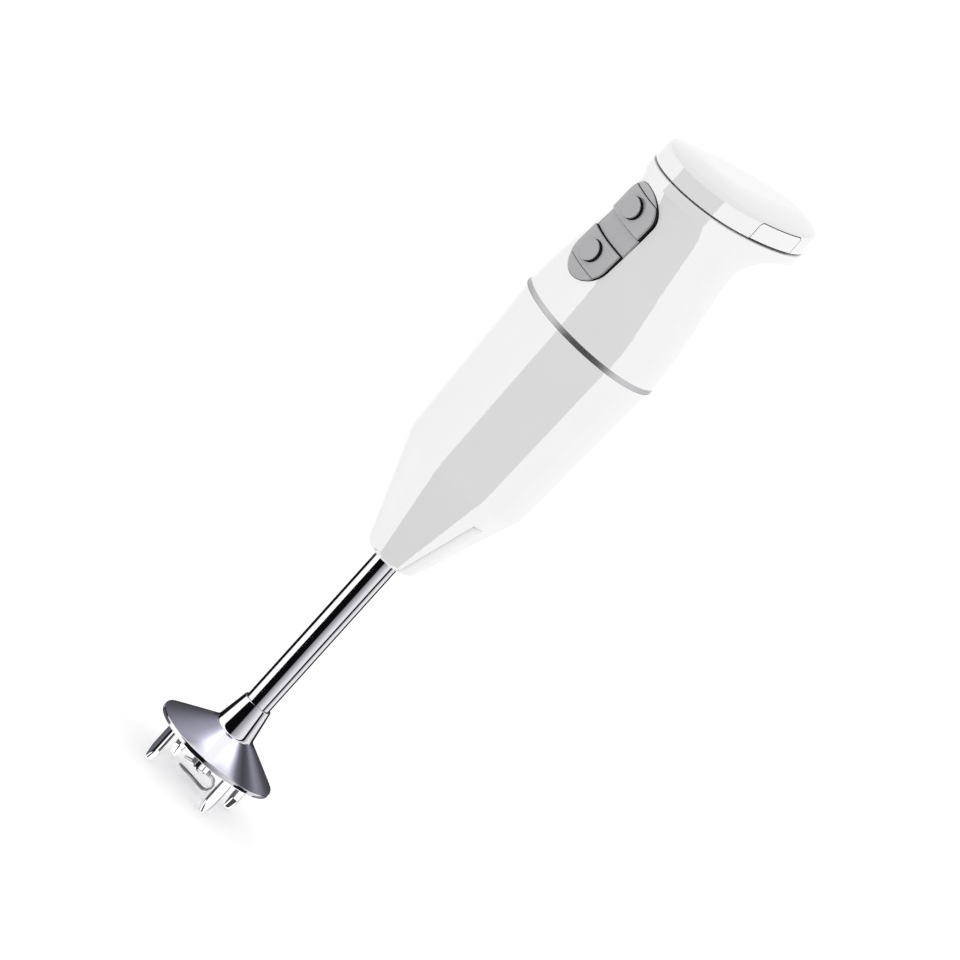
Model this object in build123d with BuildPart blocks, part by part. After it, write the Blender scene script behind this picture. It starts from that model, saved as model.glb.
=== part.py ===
from build123d import *
import os
from math import cos, radians, sin, tan

# Cordless immersion blender. +Z runs up the drive shaft, the buttons face -Y and the four
# legs of the blade guard stand on z = 0. Lengths are millimetres and angles are degrees.

# Fits and gaps
seat_gap = 0.02  # per side, between pieces that are fixed together
running_gap = 0.04  # radial, round a turning shaft
button_gap = 0.4  # round a piece that slides in its opening
pack_gap = 0.35  # round the battery pack in its bay
seam_gap = 0.8  # open line between the handle and the battery cap
touch_gap = 0.1  # between electrical contacts that meet when the pack is home
cut_clear = 1.0  # cut that reaches past a face
half_turn = 180.0

# Blade guard and collar
leg_count = 4
leg_turn = -14.0  # angle of the first leg from +X
leg_height = 19.6
leg_circle_r = 24.6
leg_width = 6.0
leg_tip_width = 2.4
leg_tip_length = 7.0
leg_thickness = 3.2
leg_edge_r = 0.6
leg_cover = 0.2  # bell that covers the top of a leg
rim_r = 31.0
rim_band = 2.0
rim_edge_r = 0.5
shoulder_r = 1.4
bell_slope = 29.5  # angle of the bell above the horizontal
bell_wall = 1.6
bell_roof = 2.5
collar_foot_r = 11.8
collar_base_r = 10.05
collar_sweep_r = 3.5
collar_top_r = 7.25
collar_length = 17.2
collar_edge_r = 0.7
spigot_r = 7.6
spigot_length = 7.0
spigot_lip = 1.0
spigot_hole_r = 3.0
tube_step = 4.0  # foot of the tube above the foot of the collar

# Blade
blade_turn = 43.0  # direction of the blade's arms from +X
blade_thickness = 0.8
blade_width = 5.0
blade_reach = 10.1  # shaft axis to the outside of the bend
blade_tail = 8.3
blade_wing = 8.6
blade_low_z = 2.6
blade_tail_z = 4.2
blade_top_z = 9.4
blade_wing_drop = 1.2
hub_r = 5.2
hub_neck_r = 4.2
hub_foot = 6.0  # height of the thick foot of the hub
hub_length = 14.0
hub_floor = 4.2  # solid foot under the shaft
rivet_head_r = 3.2
rivet_head = 1.2
rivet_r = 1.4

# Drive shaft, tube and bearings
shaft_r = 2.0
shaft_flat = 1.5  # shaft axis to each driving flat
shaft_flat_length = 6.0
tube_r = 6.35
tube_wall = 0.9
tube_exposed = 90.2
bearing_r = 5.0
seal_height = 2.5
upper_bearing_length = 8.0
upper_bearing_depth = 4.0  # below the top of the tube
clamp_height = 4.0
tube_stub = 1.0  # tube that stands above its clamp

# Lower housing
nose_r = 12.9
nose_edge_r = 4.6
nose_length = 53.8
nose_floor = 3.0
crease_r = 33.2
crease_edge_r = 18.0
barrel_length = 84.3
ring_r = 37.3
housing_wall = 2.4
boss_r = 9.6
nose_seal_height = 3.0
nose_seal_r = 8.0
flute_length = 46.0
flute_depth = 1.3
flute_front = 4.0  # sharp edge of the flute in front of the side line
flute_rear = 5.0
shelf_r = 25.0
shelf_height = 6.0
shelf_rise = 3.0  # top of the motor shelf above the crease

# Seam ring
ring_tilt = 2.0  # the ring stands higher at the front
ring_height = 2.8
ring_inset = 0.15
tongue_r = 35.0
tongue_wall = 1.8
tongue_gap = 0.25
tongue_depth = 7.2  # foot of the tongue below the ring
tongue_rise = 5.2  # top of the tongue above the foot of the ring

# Motor
motor_shaft_r = 2.5
mount_thickness = 3.0
mount_hole_r = 8.0
mount_gap = 0.3
can_r = 21.0
can_wall = 1.6
can_length = 52.0
can_boss_r = 7.0
can_boss_length = 5.0
motor_bearing_r = 5.0
magnet_thickness = 1.7
magnet_over = 3.5  # magnet beyond each end of the core
magnet_angle = 140.0
air_gap = 0.8
core_slots = 5
slot_width = 3.2
slot_depth = 7.0
core_post_r = 6.0
winding_height = 5.0
winding_gap = 0.2
commutator_r = 5.5
commutator_length = 9.5
commutator_gap = 0.9  # below the end cap
brush_gap = 0.05
brush_size = 5.0
brush_length = 9.0
brush_height = 7.0
end_cap_height = 5.0
motor_shaft_stub = 1.2
coupling_r = 6.5
coupling_length = 18.0
coupling_drop = 5.8  # top of the coupling below the motor mount
coupling_space = 4.0  # between the tube and the coupling
shaft_space = 2.0  # between the two shafts inside the coupling
fan_r = 18.0
fan_hub_r = 9.0
fan_height = 6.0
fan_blades = 8
fan_blade_thickness = 1.2
fan_rise = 11.0  # foot of the fan above the foot of the coupling

# Screws
screw_r = 1.5
screw_head_r = 2.6
screw_head = 2.2
motor_screw_circle_r = 13.0
motor_screw_count = 2
mount_screw_circle_r = 28.0
mount_screw_count = 3
mount_screw_turn = 30.0
mount_screw_bite = 5.0
housing_screw_circle_r = 26.5
housing_screw_count = 3
housing_screw_turn = 90.0
housing_screw_bite = 12.0
housing_boss_r = 4.0
housing_boss_length = 17.8

# Upper housing
waist_half_width = 27.4
waist_front = 33.2
waist_rear = 32.4
waist_rise = 68.0  # waist above the ring
flare_rise = 56.3  # start of the flare above the ring
flare_bunching = 0.55  # sections crowd towards the lip, where the flare is steep
lip_rise = 77.1  # foot of the lip above the ring
lip_height = 5.2
lip_half_width = 27.1
lip_front = 38.2
lip_rear = 61.6
lip_edge_r = 0.5
floor_rise = 3.1  # underside of the bay floor above the ring
floor_thickness = 3.0
deck_thickness = 2.4
cavity_lift = 1.2

# Keypad
keypad_proud = 0.5  # face of the frame before the grip
keypad_width = 26.0
keypad_rise = 19.3  # foot of the keypad above the ring
keypad_gap = 0.25
sleeve_wall = 1.6
frame_depth = 5.5  # at the waist
plate_thickness = 0.7  # of the frame behind the buttons
window_r = 4.0  # hole in that plate for a switch
gasket_thickness = 0.6
ledge_width = 1.4
ledge_thickness = 1.4
pad_proud = 0.5  # face of a button before the frame
low_end = 6.2  # of the frame below the lower pad
low_pad_height = 16.7
step_height = 10.0  # between the two pads
high_pad_height = 17.1
high_end = 4.4  # of the frame above the upper pad
step_depth = 1.2  # of the middle step behind the frame face
knob_r = 5.3
knob_proud = 1.8
knob_edge_r = 0.5
press_travel = 1.2
stop_gap = 0.1  # left behind a button that is pressed home
plunger_gap = 0.25
post_r = 1.2
post_side = 8.0
post_end = 3.0  # end posts from the ends of the keypad
board_half_width = 10.4
board_thickness = 1.6
board_gap = 0.3
board_end = 0.5  # ends of the board inside the ends of the keypad
switch_size = 6.0
switch_body = 1.0
switch_plunger_r = 1.6
board_screw_r = 0.7
board_screw_head_r = 1.6
board_screw_head = 1.2
board_screw_bite = 3.0

# Battery pack
cell_r = 9.2
cell_length = 65.0
cell_side = 9.6
cell_rear = 9.5
cell_front = 7.2
case_half_width = 22.8
case_front = 18.8
case_rear = 27.4
case_wall = 1.4
case_floor = 2.2
case_drop = 68.2  # foot of the case below the seam
flange_thickness = 2.0
cell_lift = 0.5
link_thickness = 0.25
link_width = 7.0
pack_board_x = 26.0
pack_board_y = 22.0
pack_board_thickness = 1.6
terminal_x = 6.0
terminal_y = 8.0
terminal_side = 7.0
terminal_margin = 0.5  # contact inside the outline of its terminal
cap_inset = 0.6  # cap inside the outline of the lip
cap_wall_height = 8.0
cap_edge_r = 3.5
cap_edge_turn = 70.0
cap_crown_span = 16.0
cap_shell = 2.0
release_front = 6.0  # front edge of the release buttons behind the shaft axis
release_rear = 39.0
release_height = 9.6
release_corner_r = 2.2
release_travel = 1.5
contact_block_x = 28.0
contact_block_y = 16.0
contact_block_height = 6.0
lead_r = 1.0
lead_side = 10.0
ribbon_width = 5.0
ribbon_thickness = 0.8
ribbon_side = 6.0
ribbon_bend_r = 1.0
ribbon_stand = 3.0  # between the ribbon and the board
ribbon_foot = 3.0  # ribbon above the foot of the contact block
ribbon_rise = 13.0

# Heights up the shaft axis
shoulder_z = leg_height + rim_band
neck_z = shoulder_z + (rim_r - collar_foot_r) * tan(radians(bell_slope))
collar_top_z = neck_z + collar_length
spigot_z = neck_z - spigot_length
seal_z = spigot_z + spigot_lip
tube_z = neck_z + tube_step
nose_z = collar_top_z + tube_exposed
crease_z = nose_z + nose_length
mount_z = crease_z + shelf_rise
coupling_z = mount_z - coupling_drop - coupling_length
tube_top_z = coupling_z - coupling_space
boss_z = tube_top_z - tube_stub - clamp_height
ring_z = crease_z + barrel_length
ring_top_z = ring_z + ring_height
blade_face_z = blade_top_z + blade_thickness / 2
blade_back_z = blade_top_z - blade_thickness / 2
shaft_foot_z = blade_face_z + hub_floor
coupling_mid_z = coupling_z + coupling_length / 2
shaft_top_z = coupling_mid_z - shaft_space / 2
can_z = mount_z + mount_thickness
can_top_z = can_z + can_length
low_winding_z = can_z + can_boss_length + winding_gap
core_z = low_winding_z + winding_height + winding_gap
commutator_z = can_top_z - commutator_gap - commutator_length + winding_gap
high_winding_z = commutator_z - winding_gap - winding_height
core_length = high_winding_z - winding_gap - core_z
end_cap_top_z = can_top_z + end_cap_height
floor_z = ring_top_z + floor_rise
floor_top_z = floor_z + floor_thickness
waist_z = ring_top_z + waist_rise
flare_z = ring_top_z + flare_rise
lip_z = ring_top_z + lip_rise
seam_z = lip_z + lip_height
deck_z = seam_z - deck_thickness
cap_z = seam_z + seam_gap
case_z = seam_z - case_drop
cell_z = case_z + case_floor + cell_lift
cell_top_z = cell_z + cell_length
block_top_z = floor_top_z + contact_block_height

# Distances in front of the shaft axis, along -Y, through the keypad
keypad_r = waist_front + keypad_proud
frame_back = keypad_r - frame_depth
ledge_front = frame_back - gasket_thickness
ledge_back = ledge_front - ledge_thickness
board_front = ledge_back - board_gap
board_back = board_front - board_thickness
pad_face = keypad_proud + pad_proud
knob_face = pad_face + knob_proud
keypad_reach = ring_r + knob_face + cut_clear  # beyond every face of the keypad
plate_front = frame_back + plate_thickness
pad_back = plate_front + press_travel + stop_gap
switch_tip = pad_back - press_travel - plunger_gap
keypad_z = ring_top_z + keypad_rise
low_pad_z = keypad_z + low_end
high_pad_z = low_pad_z + low_pad_height + step_height
keypad_top_z = high_pad_z + high_pad_height + high_end
keypad_height = keypad_top_z - keypad_z
keypad_mid_z = keypad_z + keypad_height / 2
low_knob_z = low_pad_z + low_pad_height / 2
high_knob_z = high_pad_z + high_pad_height / 2

ring_plane = Plane(
    origin=(0, 0, ring_z),
    x_dir=(1, 0, 0),
    z_dir=(0, sin(radians(ring_tilt)), cos(radians(ring_tilt))),
)
ring_top_plane = ring_plane.offset(ring_height)
blade_plane = Plane(
    origin=(0, 0, 0),
    x_dir=(cos(radians(blade_turn)), sin(radians(blade_turn)), 0),
    z_dir=(sin(radians(blade_turn)), -cos(radians(blade_turn)), 0),
)


def corner(x, y):
    """The corner of the sketch being drawn that lies nearest to a point."""
    return vertices().sort_by_distance((x, y))[:1]


def oval(half_width, front, rear):
    """Egg outline: a half ellipse towards -Y joined to another towards +Y."""
    with BuildSketch() as outline:
        with BuildLine():
            EllipticalCenterArc((0, 0), half_width, rear, 0, arc_size=half_turn)
            EllipticalCenterArc((0, 0), half_width, front, 180, arc_size=half_turn)
        make_face()
    return outline.sketch


def shrink(size, amount):
    """An oval's three sizes, each made smaller by the same amount."""
    return tuple(value - amount for value in size)


def handle_size(z):
    """Half width, front and rear of the grip: an eased taper to the waist, then a flare to the lip."""
    part = min(max((z - ring_top_z) / (waist_z - ring_top_z), 0), 1)
    taper = part * part * (3 - 2 * part)
    flare = min(max((z - flare_z) / (lip_z - flare_z), 0), 1) ** 3
    waist = (waist_half_width, waist_front, waist_rear)
    lip = (lip_half_width, lip_front, lip_rear)
    return tuple(
        ring_r + (narrow - ring_r) * taper + (wide - narrow) * flare
        for narrow, wide in zip(waist, lip)
    )


def spread(low, high, steps):
    """Evenly spaced heights from low to high, both included."""
    return [low + (high - low) * step / steps for step in range(steps + 1)]


def cap_edge(shell):
    """Height and inset of each ring of the cap's rounded edge, for a skin that lies shell deeper."""
    return [
        (
            cap_z + cap_wall_height - shell + cap_edge_r * sin(radians(turn)),
            shell + cap_edge_r * (1 - cos(radians(turn))),
        )
        for turn in spread(0, cap_edge_turn, 5)
    ]


def cap_crown(shell):
    """Height and inset of each ring of the cap's crown, which eases from the edge to a level middle."""
    edge_z, edge_inset = cap_edge(shell)[-1]
    crown_rise = cap_crown_span * tan(radians(90 - cap_edge_turn)) / 2
    return [
        (edge_z + crown_rise * (1 - (1 - share) ** 2), edge_inset + cap_crown_span * share)
        for share in spread(0, 1, 5)
    ]


lip_size = (lip_half_width, lip_front, lip_rear)
cap_size = shrink(lip_size, cap_inset)
case_size = (case_half_width, case_front, case_rear)

# Blade guard: the bell with its four legs
leg_outer_r = leg_circle_r + leg_thickness / 2
leg_top_z = shoulder_z + (rim_r - leg_outer_r) * tan(radians(bell_slope)) - leg_cover
with BuildPart() as leg_bar:
    with BuildSketch(Plane.YZ):
        with BuildLine():
            Line((leg_tip_width / 2, 0), (-leg_tip_width / 2, 0))
            TangentArc(
                (-leg_width / 2, leg_tip_length),
                (-leg_tip_width / 2, 0),
                tangent=(0, -1),
            )
            Line((-leg_width / 2, leg_tip_length), (-leg_width / 2, leg_top_z))
            Line((-leg_width / 2, leg_top_z), (leg_width / 2, leg_top_z))
            Line((leg_width / 2, leg_top_z), (leg_width / 2, leg_tip_length))
            TangentArc(
                (leg_width / 2, leg_tip_length), (leg_tip_width / 2, 0), tangent=(0, -1)
            )
        make_face()
    extrude(amount=leg_thickness / 2, both=True)
    long_edges = leg_bar.edges().filter_by(Axis.X, reverse=True)
    fillet(long_edges.filter_by_position(Axis.Z, 0, leg_top_z - leg_cover / 2), leg_edge_r)

with BuildPart() as blade_guard:
    inner_r = rim_r - bell_wall
    slope = tan(radians(bell_slope))
    skin = bell_wall / cos(radians(bell_slope))
    roof_r = collar_foot_r + (bell_roof - skin) / slope
    with BuildSketch(Plane.XZ):
        Polygon(
            (inner_r, leg_height),
            (rim_r, leg_height),
            (rim_r, shoulder_z),
            (collar_foot_r, neck_z),
            (spigot_r, neck_z),
            (spigot_r, neck_z - bell_roof),
            (roof_r, neck_z - bell_roof),
            (inner_r, neck_z - (inner_r - collar_foot_r) * slope - skin),
            align=None,
        )
        fillet(corner(rim_r, shoulder_z), shoulder_r)
        fillet(corner(rim_r, leg_height), rim_edge_r)
        fillet(corner(inner_r, leg_height), rim_edge_r)
    revolve(axis=Axis.Z)
    with PolarLocations(leg_circle_r, leg_count, leg_turn):
        add(leg_bar.part)

# Guard collar: joins the bell to the tube and holds the lower bearing
with BuildPart() as guard_collar:
    sweep_z = neck_z + seat_gap + (collar_foot_r - collar_base_r) * slope
    with BuildSketch(Plane.XZ):
        Polygon(
            (spigot_hole_r, spigot_z),
            (spigot_r - seat_gap, spigot_z),
            (spigot_r - seat_gap, neck_z + seat_gap),
            (collar_foot_r, neck_z + seat_gap),
            (collar_base_r, sweep_z),
            (collar_top_r, collar_top_z),
            (tube_r + seat_gap, collar_top_z),
            (tube_r + seat_gap, tube_z),
            (bearing_r + seat_gap, tube_z),
            (bearing_r + seat_gap, seal_z),
            (spigot_hole_r, seal_z),
            align=None,
        )
        fillet(corner(collar_base_r, sweep_z), collar_sweep_r)
        fillet(corner(collar_top_r, collar_top_z), collar_edge_r)
    revolve(axis=Axis.Z)

with BuildPart() as shaft_seal:
    with BuildSketch(Plane.XY.offset(seal_z + seat_gap)):
        Circle(bearing_r)
        Circle(shaft_r + running_gap, mode=Mode.SUBTRACT)
    extrude(amount=seal_height - seat_gap)

with BuildPart() as lower_bearing:
    with BuildSketch(Plane.XY.offset(seal_z + seal_height + seat_gap)):
        Circle(bearing_r)
        Circle(shaft_r + running_gap, mode=Mode.SUBTRACT)
    extrude(amount=tube_z - seal_z - seal_height - 2 * seat_gap)

with BuildPart() as shaft_tube:
    with BuildSketch(Plane.XY.offset(tube_z + seat_gap)):
        Circle(tube_r)
        Circle(tube_r - tube_wall, mode=Mode.SUBTRACT)
    extrude(amount=tube_top_z - tube_z - seat_gap)

with BuildPart() as upper_bearing:
    with BuildSketch(
        Plane.XY.offset(tube_top_z - upper_bearing_depth - upper_bearing_length)
    ):
        Circle(tube_r - tube_wall - seat_gap)
        Circle(shaft_r + running_gap, mode=Mode.SUBTRACT)
    extrude(amount=upper_bearing_length)

# Drive shaft with two driving flats at its foot
with BuildPart() as drive_shaft:
    with BuildSketch(Plane.XY.offset(shaft_foot_z + seat_gap)):
        Circle(shaft_r)
    extrude(amount=shaft_top_z - shaft_foot_z - seat_gap)
    with BuildSketch(Plane.XY.offset(shaft_foot_z + seat_gap)):
        Circle(2 * shaft_r)
        Rectangle(4 * shaft_r, 2 * shaft_flat, mode=Mode.SUBTRACT)
    extrude(amount=shaft_flat_length, mode=Mode.SUBTRACT)

# Cutting blade: a strip bent into a C, with a short wing opposite the bend
bend_x = blade_reach - blade_thickness / 2 - (blade_top_z - blade_low_z) / 2
wing_x = blade_wing / 2
with BuildPart() as cutting_blade:
    with BuildSketch(blade_plane):
        with BuildLine():
            Line(
                (-blade_wing, blade_top_z - blade_wing_drop),
                (-wing_x, blade_top_z),
            )
            Line((-wing_x, blade_top_z), (bend_x, blade_top_z))
            ThreePointArc(
                (bend_x, blade_top_z),
                (blade_reach - blade_thickness / 2, (blade_top_z + blade_low_z) / 2),
                (bend_x, blade_low_z),
            )
            Line((bend_x, blade_low_z), (-blade_tail, blade_tail_z))
        trace(line_width=blade_thickness)
    extrude(amount=blade_width / 2, both=True)
    with BuildSketch(Plane.XY.offset(blade_back_z - blade_thickness)):
        Circle(rivet_r + seat_gap)
    extrude(amount=3 * blade_thickness, mode=Mode.SUBTRACT)

with BuildPart() as blade_hub:
    with BuildSketch(Plane.XZ):
        Polygon(
            (0, blade_face_z + seat_gap),
            (hub_r, blade_face_z + seat_gap),
            (hub_r, blade_face_z + hub_foot),
            (hub_neck_r, blade_face_z + hub_foot),
            (hub_neck_r, blade_face_z + hub_length),
            (0, blade_face_z + hub_length),
            align=None,
        )
    revolve(axis=Axis.Z)
    with BuildSketch(Plane.XY.offset(shaft_foot_z)):
        Circle(shaft_r + running_gap)
    extrude(amount=hub_length, mode=Mode.SUBTRACT)
    with BuildSketch(Plane.XY.offset(shaft_foot_z)):
        Circle(shaft_r + 2 * running_gap)
        Rectangle(
            4 * shaft_r, 2 * (shaft_flat + running_gap), mode=Mode.SUBTRACT
        )
    extrude(amount=shaft_flat_length - running_gap)
    with BuildSketch(Plane.XY.offset(blade_face_z)):
        Circle(rivet_r + seat_gap)
    extrude(amount=hub_floor / 2, mode=Mode.SUBTRACT)

with BuildPart() as blade_rivet:
    with BuildSketch(Plane.XY.offset(blade_back_z - seat_gap)):
        Circle(rivet_head_r)
    extrude(amount=-rivet_head)
    fillet(blade_rivet.edges().sort_by(Axis.Z)[0], rivet_head / 2)
    with BuildSketch(Plane.XY.offset(blade_back_z - seat_gap)):
        Circle(rivet_r)
    extrude(amount=blade_thickness + hub_floor / 2)

# Lower housing: tapered nose, barrel, tube boss, motor shelf and screw bosses
nose_lean = (crease_r - nose_r) / nose_length
barrel_lean = (ring_r - crease_r) / barrel_length
barrel_over = ring_r * tan(radians(ring_tilt)) + ring_height
nose_skin = housing_wall * (1 + nose_lean**2) ** 0.5


def wall_middle(z):
    """Radius of the middle of the lower housing's wall at a height."""
    lean = nose_lean if z < crease_z else barrel_lean
    return crease_r - housing_wall / 2 + (z - crease_z) * lean


with BuildPart() as lower_housing:
    top_z = ring_z + barrel_over
    top_r = ring_r + barrel_over * barrel_lean
    with BuildSketch(Plane.XZ):
        Polygon(
            (tube_r + seat_gap, nose_z),
            (nose_r, nose_z),
            (crease_r, crease_z),
            (top_r, top_z),
            (top_r - housing_wall, top_z),
            (crease_r - housing_wall, crease_z),
            (nose_r - nose_skin + nose_floor * nose_lean, nose_z + nose_floor),
            (boss_r, nose_z + nose_floor),
            (boss_r, boss_z),
            (tube_r + seat_gap, boss_z),
            align=None,
        )
        fillet(corner(nose_r, nose_z), nose_edge_r)
        fillet(corner(crease_r, crease_z), crease_edge_r)
    revolve(axis=Axis.Z)
    split(bisect_by=ring_plane, keep=Keep.BOTTOM)
    with BuildSketch(Plane.XY.offset(ring_z - tongue_depth)):
        Circle(tongue_r)
        Circle(tongue_r - tongue_wall, mode=Mode.SUBTRACT)
    extrude(amount=tongue_depth + tongue_rise)
    shelf_z = mount_z - shelf_height
    with BuildSketch(Plane.XZ):
        Polygon(
            (shelf_r, shelf_z),
            (wall_middle(shelf_z), shelf_z),
            (wall_middle(crease_z), crease_z),
            (wall_middle(mount_z), mount_z),
            (shelf_r, mount_z),
            align=None,
        )
    revolve(axis=Axis.Z)
    with BuildSketch(Plane.XY.offset(floor_z - seat_gap)):
        with PolarLocations(housing_screw_circle_r, housing_screw_count, housing_screw_turn):
            Circle(housing_boss_r)
    extrude(amount=-housing_boss_length)
    rib_x = ring_r - housing_wall / 2 - housing_screw_circle_r
    with BuildSketch(Plane.XY.offset(floor_z - housing_boss_length)):
        with PolarLocations(
            housing_screw_circle_r + rib_x / 2, housing_screw_count, housing_screw_turn
        ):
            Rectangle(rib_x, housing_wall)
    extrude(amount=ring_z - floor_z + housing_boss_length - housing_wall)
    with BuildSketch(Plane.XY.offset(floor_z)):
        with PolarLocations(housing_screw_circle_r, housing_screw_count, housing_screw_turn):
            Circle(screw_r + seat_gap)
    extrude(amount=-housing_screw_bite - seat_gap, mode=Mode.SUBTRACT)
    with BuildSketch(Plane.XY.offset(mount_z)):
        with PolarLocations(mount_screw_circle_r, mount_screw_count, mount_screw_turn):
            Circle(screw_r + seat_gap)
    extrude(amount=-mount_screw_bite - seat_gap, mode=Mode.SUBTRACT)
    with BuildSketch(Plane.XY.offset(boss_z)):
        Circle(nose_seal_r)
    extrude(amount=-nose_seal_height, mode=Mode.SUBTRACT)
    for side in (1, -1):
        flute_plane = Plane(
            origin=(side * nose_r, 0, nose_z),
            x_dir=(side, 0, -nose_lean),
            z_dir=(side * nose_lean, 0, 1),
        )
        with BuildSketch(flute_plane.offset(-nose_edge_r)):
            Polygon(
                (flute_depth, -side * flute_front),
                (-flute_depth, -side * (flute_front - flute_depth / 4)),
                (flute_depth / 4, side * flute_rear),
                (flute_depth, side * flute_rear),
                align=None,
            )
        extrude(amount=flute_length + nose_edge_r, mode=Mode.SUBTRACT)

with BuildPart() as nose_seal:
    with BuildSketch(Plane.XY.offset(boss_z - nose_seal_height + seat_gap)):
        Circle(nose_seal_r - seat_gap)
        Circle(tube_r + seat_gap, mode=Mode.SUBTRACT)
    extrude(amount=nose_seal_height - 2 * seat_gap)

with BuildPart() as tube_clamp:
    with BuildSketch(Plane.XY.offset(boss_z + seat_gap)):
        Circle(boss_r)
        Circle(tube_r + seat_gap, mode=Mode.SUBTRACT)
    extrude(amount=clamp_height)

with BuildPart() as seam_ring:
    with BuildSketch(ring_plane.offset(seat_gap)):
        Circle(ring_r - ring_inset)
        Circle(tongue_r + tongue_gap, mode=Mode.SUBTRACT)
    extrude(amount=ring_height - 2 * seat_gap)

# Motor and what it carries
mount_r = crease_r - housing_wall - mount_gap
with BuildPart() as motor_mount:
    with BuildSketch(Plane.XY.offset(mount_z + seat_gap)):
        Circle(mount_r)
        Circle(mount_hole_r, mode=Mode.SUBTRACT)
        with PolarLocations(motor_screw_circle_r, motor_screw_count):
            Circle(screw_r + seat_gap, mode=Mode.SUBTRACT)
        with PolarLocations(mount_screw_circle_r, mount_screw_count, mount_screw_turn):
            Circle(screw_r + seat_gap, mode=Mode.SUBTRACT)
    extrude(amount=mount_thickness - 2 * seat_gap)

with BuildPart() as mount_screws:
    with BuildSketch(Plane.XY.offset(can_z)):
        with PolarLocations(mount_screw_circle_r, mount_screw_count, mount_screw_turn):
            Circle(screw_head_r)
    extrude(amount=screw_head)
    with BuildSketch(Plane.XY.offset(can_z)):
        with PolarLocations(mount_screw_circle_r, mount_screw_count, mount_screw_turn):
            Circle(screw_r)
    extrude(amount=-mount_thickness - mount_screw_bite)

with BuildPart() as motor_screws:
    with BuildSketch(Plane.XY.offset(mount_z)):
        with PolarLocations(motor_screw_circle_r, motor_screw_count):
            Circle(screw_head_r)
    extrude(amount=-screw_head)
    with BuildSketch(Plane.XY.offset(mount_z)):
        with PolarLocations(motor_screw_circle_r, motor_screw_count):
            Circle(screw_r)
    extrude(amount=mount_thickness + can_wall)

can_bore_r = can_r - can_wall
with BuildPart() as motor_can:
    with BuildSketch(Plane.XZ):
        Polygon(
            (motor_bearing_r + seat_gap, can_z),
            (can_r, can_z),
            (can_r, can_top_z),
            (can_bore_r, can_top_z),
            (can_bore_r, can_z + can_wall),
            (can_boss_r, can_z + can_wall),
            (can_boss_r, can_z + can_boss_length),
            (motor_bearing_r + seat_gap, can_z + can_boss_length),
            align=None,
        )
    revolve(axis=Axis.Z)
    with BuildSketch(Plane.XY.offset(can_z)):
        with PolarLocations(motor_screw_circle_r, motor_screw_count):
            Circle(screw_r + seat_gap)
    extrude(amount=can_wall, mode=Mode.SUBTRACT)

with BuildPart() as front_motor_bearing:
    with BuildSketch(Plane.XY.offset(can_z + seat_gap)):
        Circle(motor_bearing_r)
        Circle(motor_shaft_r + running_gap, mode=Mode.SUBTRACT)
    extrude(amount=can_boss_length - 2 * seat_gap)

with BuildPart() as motor_magnets:
    magnet_length = core_length + 2 * magnet_over
    with BuildSketch(Plane.XZ):
        with Locations((can_bore_r - seat_gap - magnet_thickness, core_z - magnet_over)):
            Rectangle(magnet_thickness, magnet_length, align=(Align.MIN, Align.MIN))
    revolve(axis=Axis.Z, revolution_arc=magnet_angle)
    with PolarLocations(0, 2):
        add(motor_magnets.part)

core_r = can_bore_r - seat_gap - magnet_thickness - air_gap
with BuildPart() as armature_core:
    with BuildSketch(Plane.XY.offset(core_z)):
        Circle(core_r)
        with PolarLocations(core_r - slot_depth / 2, core_slots):
            Rectangle(slot_depth + slot_width, slot_width, mode=Mode.SUBTRACT)
        Circle(motor_shaft_r + seat_gap, mode=Mode.SUBTRACT)
    extrude(amount=core_length)

with BuildPart() as armature_windings:
    for winding_z in (low_winding_z, high_winding_z):
        with BuildSketch(Plane.XY.offset(winding_z)):
            Circle(core_r - winding_height / 2)
            Circle(core_post_r, mode=Mode.SUBTRACT)
        extrude(amount=winding_height)
    fillet(
        armature_windings.edges().filter_by(GeomType.CIRCLE).sort_by(SortBy.RADIUS)[-4:],
        winding_height / 3,
    )

with BuildPart() as commutator:
    with BuildSketch(Plane.XY.offset(commutator_z)):
        Circle(commutator_r)
        Circle(motor_shaft_r + seat_gap, mode=Mode.SUBTRACT)
    extrude(amount=commutator_length - winding_gap)

with BuildPart() as carbon_brushes:
    with BuildSketch(Plane.XY.offset(can_top_z - seat_gap)):
        for side in (1, -1):
            with Locations((side * (commutator_r + brush_gap + brush_length / 2), 0)):
                Rectangle(brush_length, brush_size)
    extrude(amount=-brush_height)

with BuildPart() as motor_end_cap:
    with BuildSketch(Plane.XY.offset(can_top_z)):
        Circle(can_r)
        Circle(motor_bearing_r + seat_gap, mode=Mode.SUBTRACT)
    extrude(amount=end_cap_height)
    fillet(
        motor_end_cap.edges().group_by(Axis.Z)[-1].sort_by(SortBy.RADIUS)[-1],
        end_cap_height / 3,
    )

with BuildPart() as rear_motor_bearing:
    with BuildSketch(Plane.XY.offset(can_top_z + seat_gap)):
        Circle(motor_bearing_r)
        Circle(motor_shaft_r + running_gap, mode=Mode.SUBTRACT)
    extrude(amount=end_cap_height - seat_gap)

with BuildPart() as motor_shaft:
    with BuildSketch(Plane.XY.offset(coupling_mid_z + shaft_space / 2)):
        Circle(motor_shaft_r)
    extrude(
        amount=end_cap_top_z + motor_shaft_stub - coupling_mid_z - shaft_space / 2
    )

with BuildPart() as drive_coupling:
    with BuildSketch(Plane.XY.offset(coupling_z)):
        Circle(coupling_r)
    extrude(amount=coupling_length)
    with BuildSketch(Plane.XY.offset(coupling_z)):
        Circle(shaft_r + seat_gap)
    extrude(amount=coupling_length / 2, mode=Mode.SUBTRACT)
    with BuildSketch(Plane.XY.offset(coupling_mid_z)):
        Circle(motor_shaft_r + seat_gap)
    extrude(amount=coupling_length / 2, mode=Mode.SUBTRACT)

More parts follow.
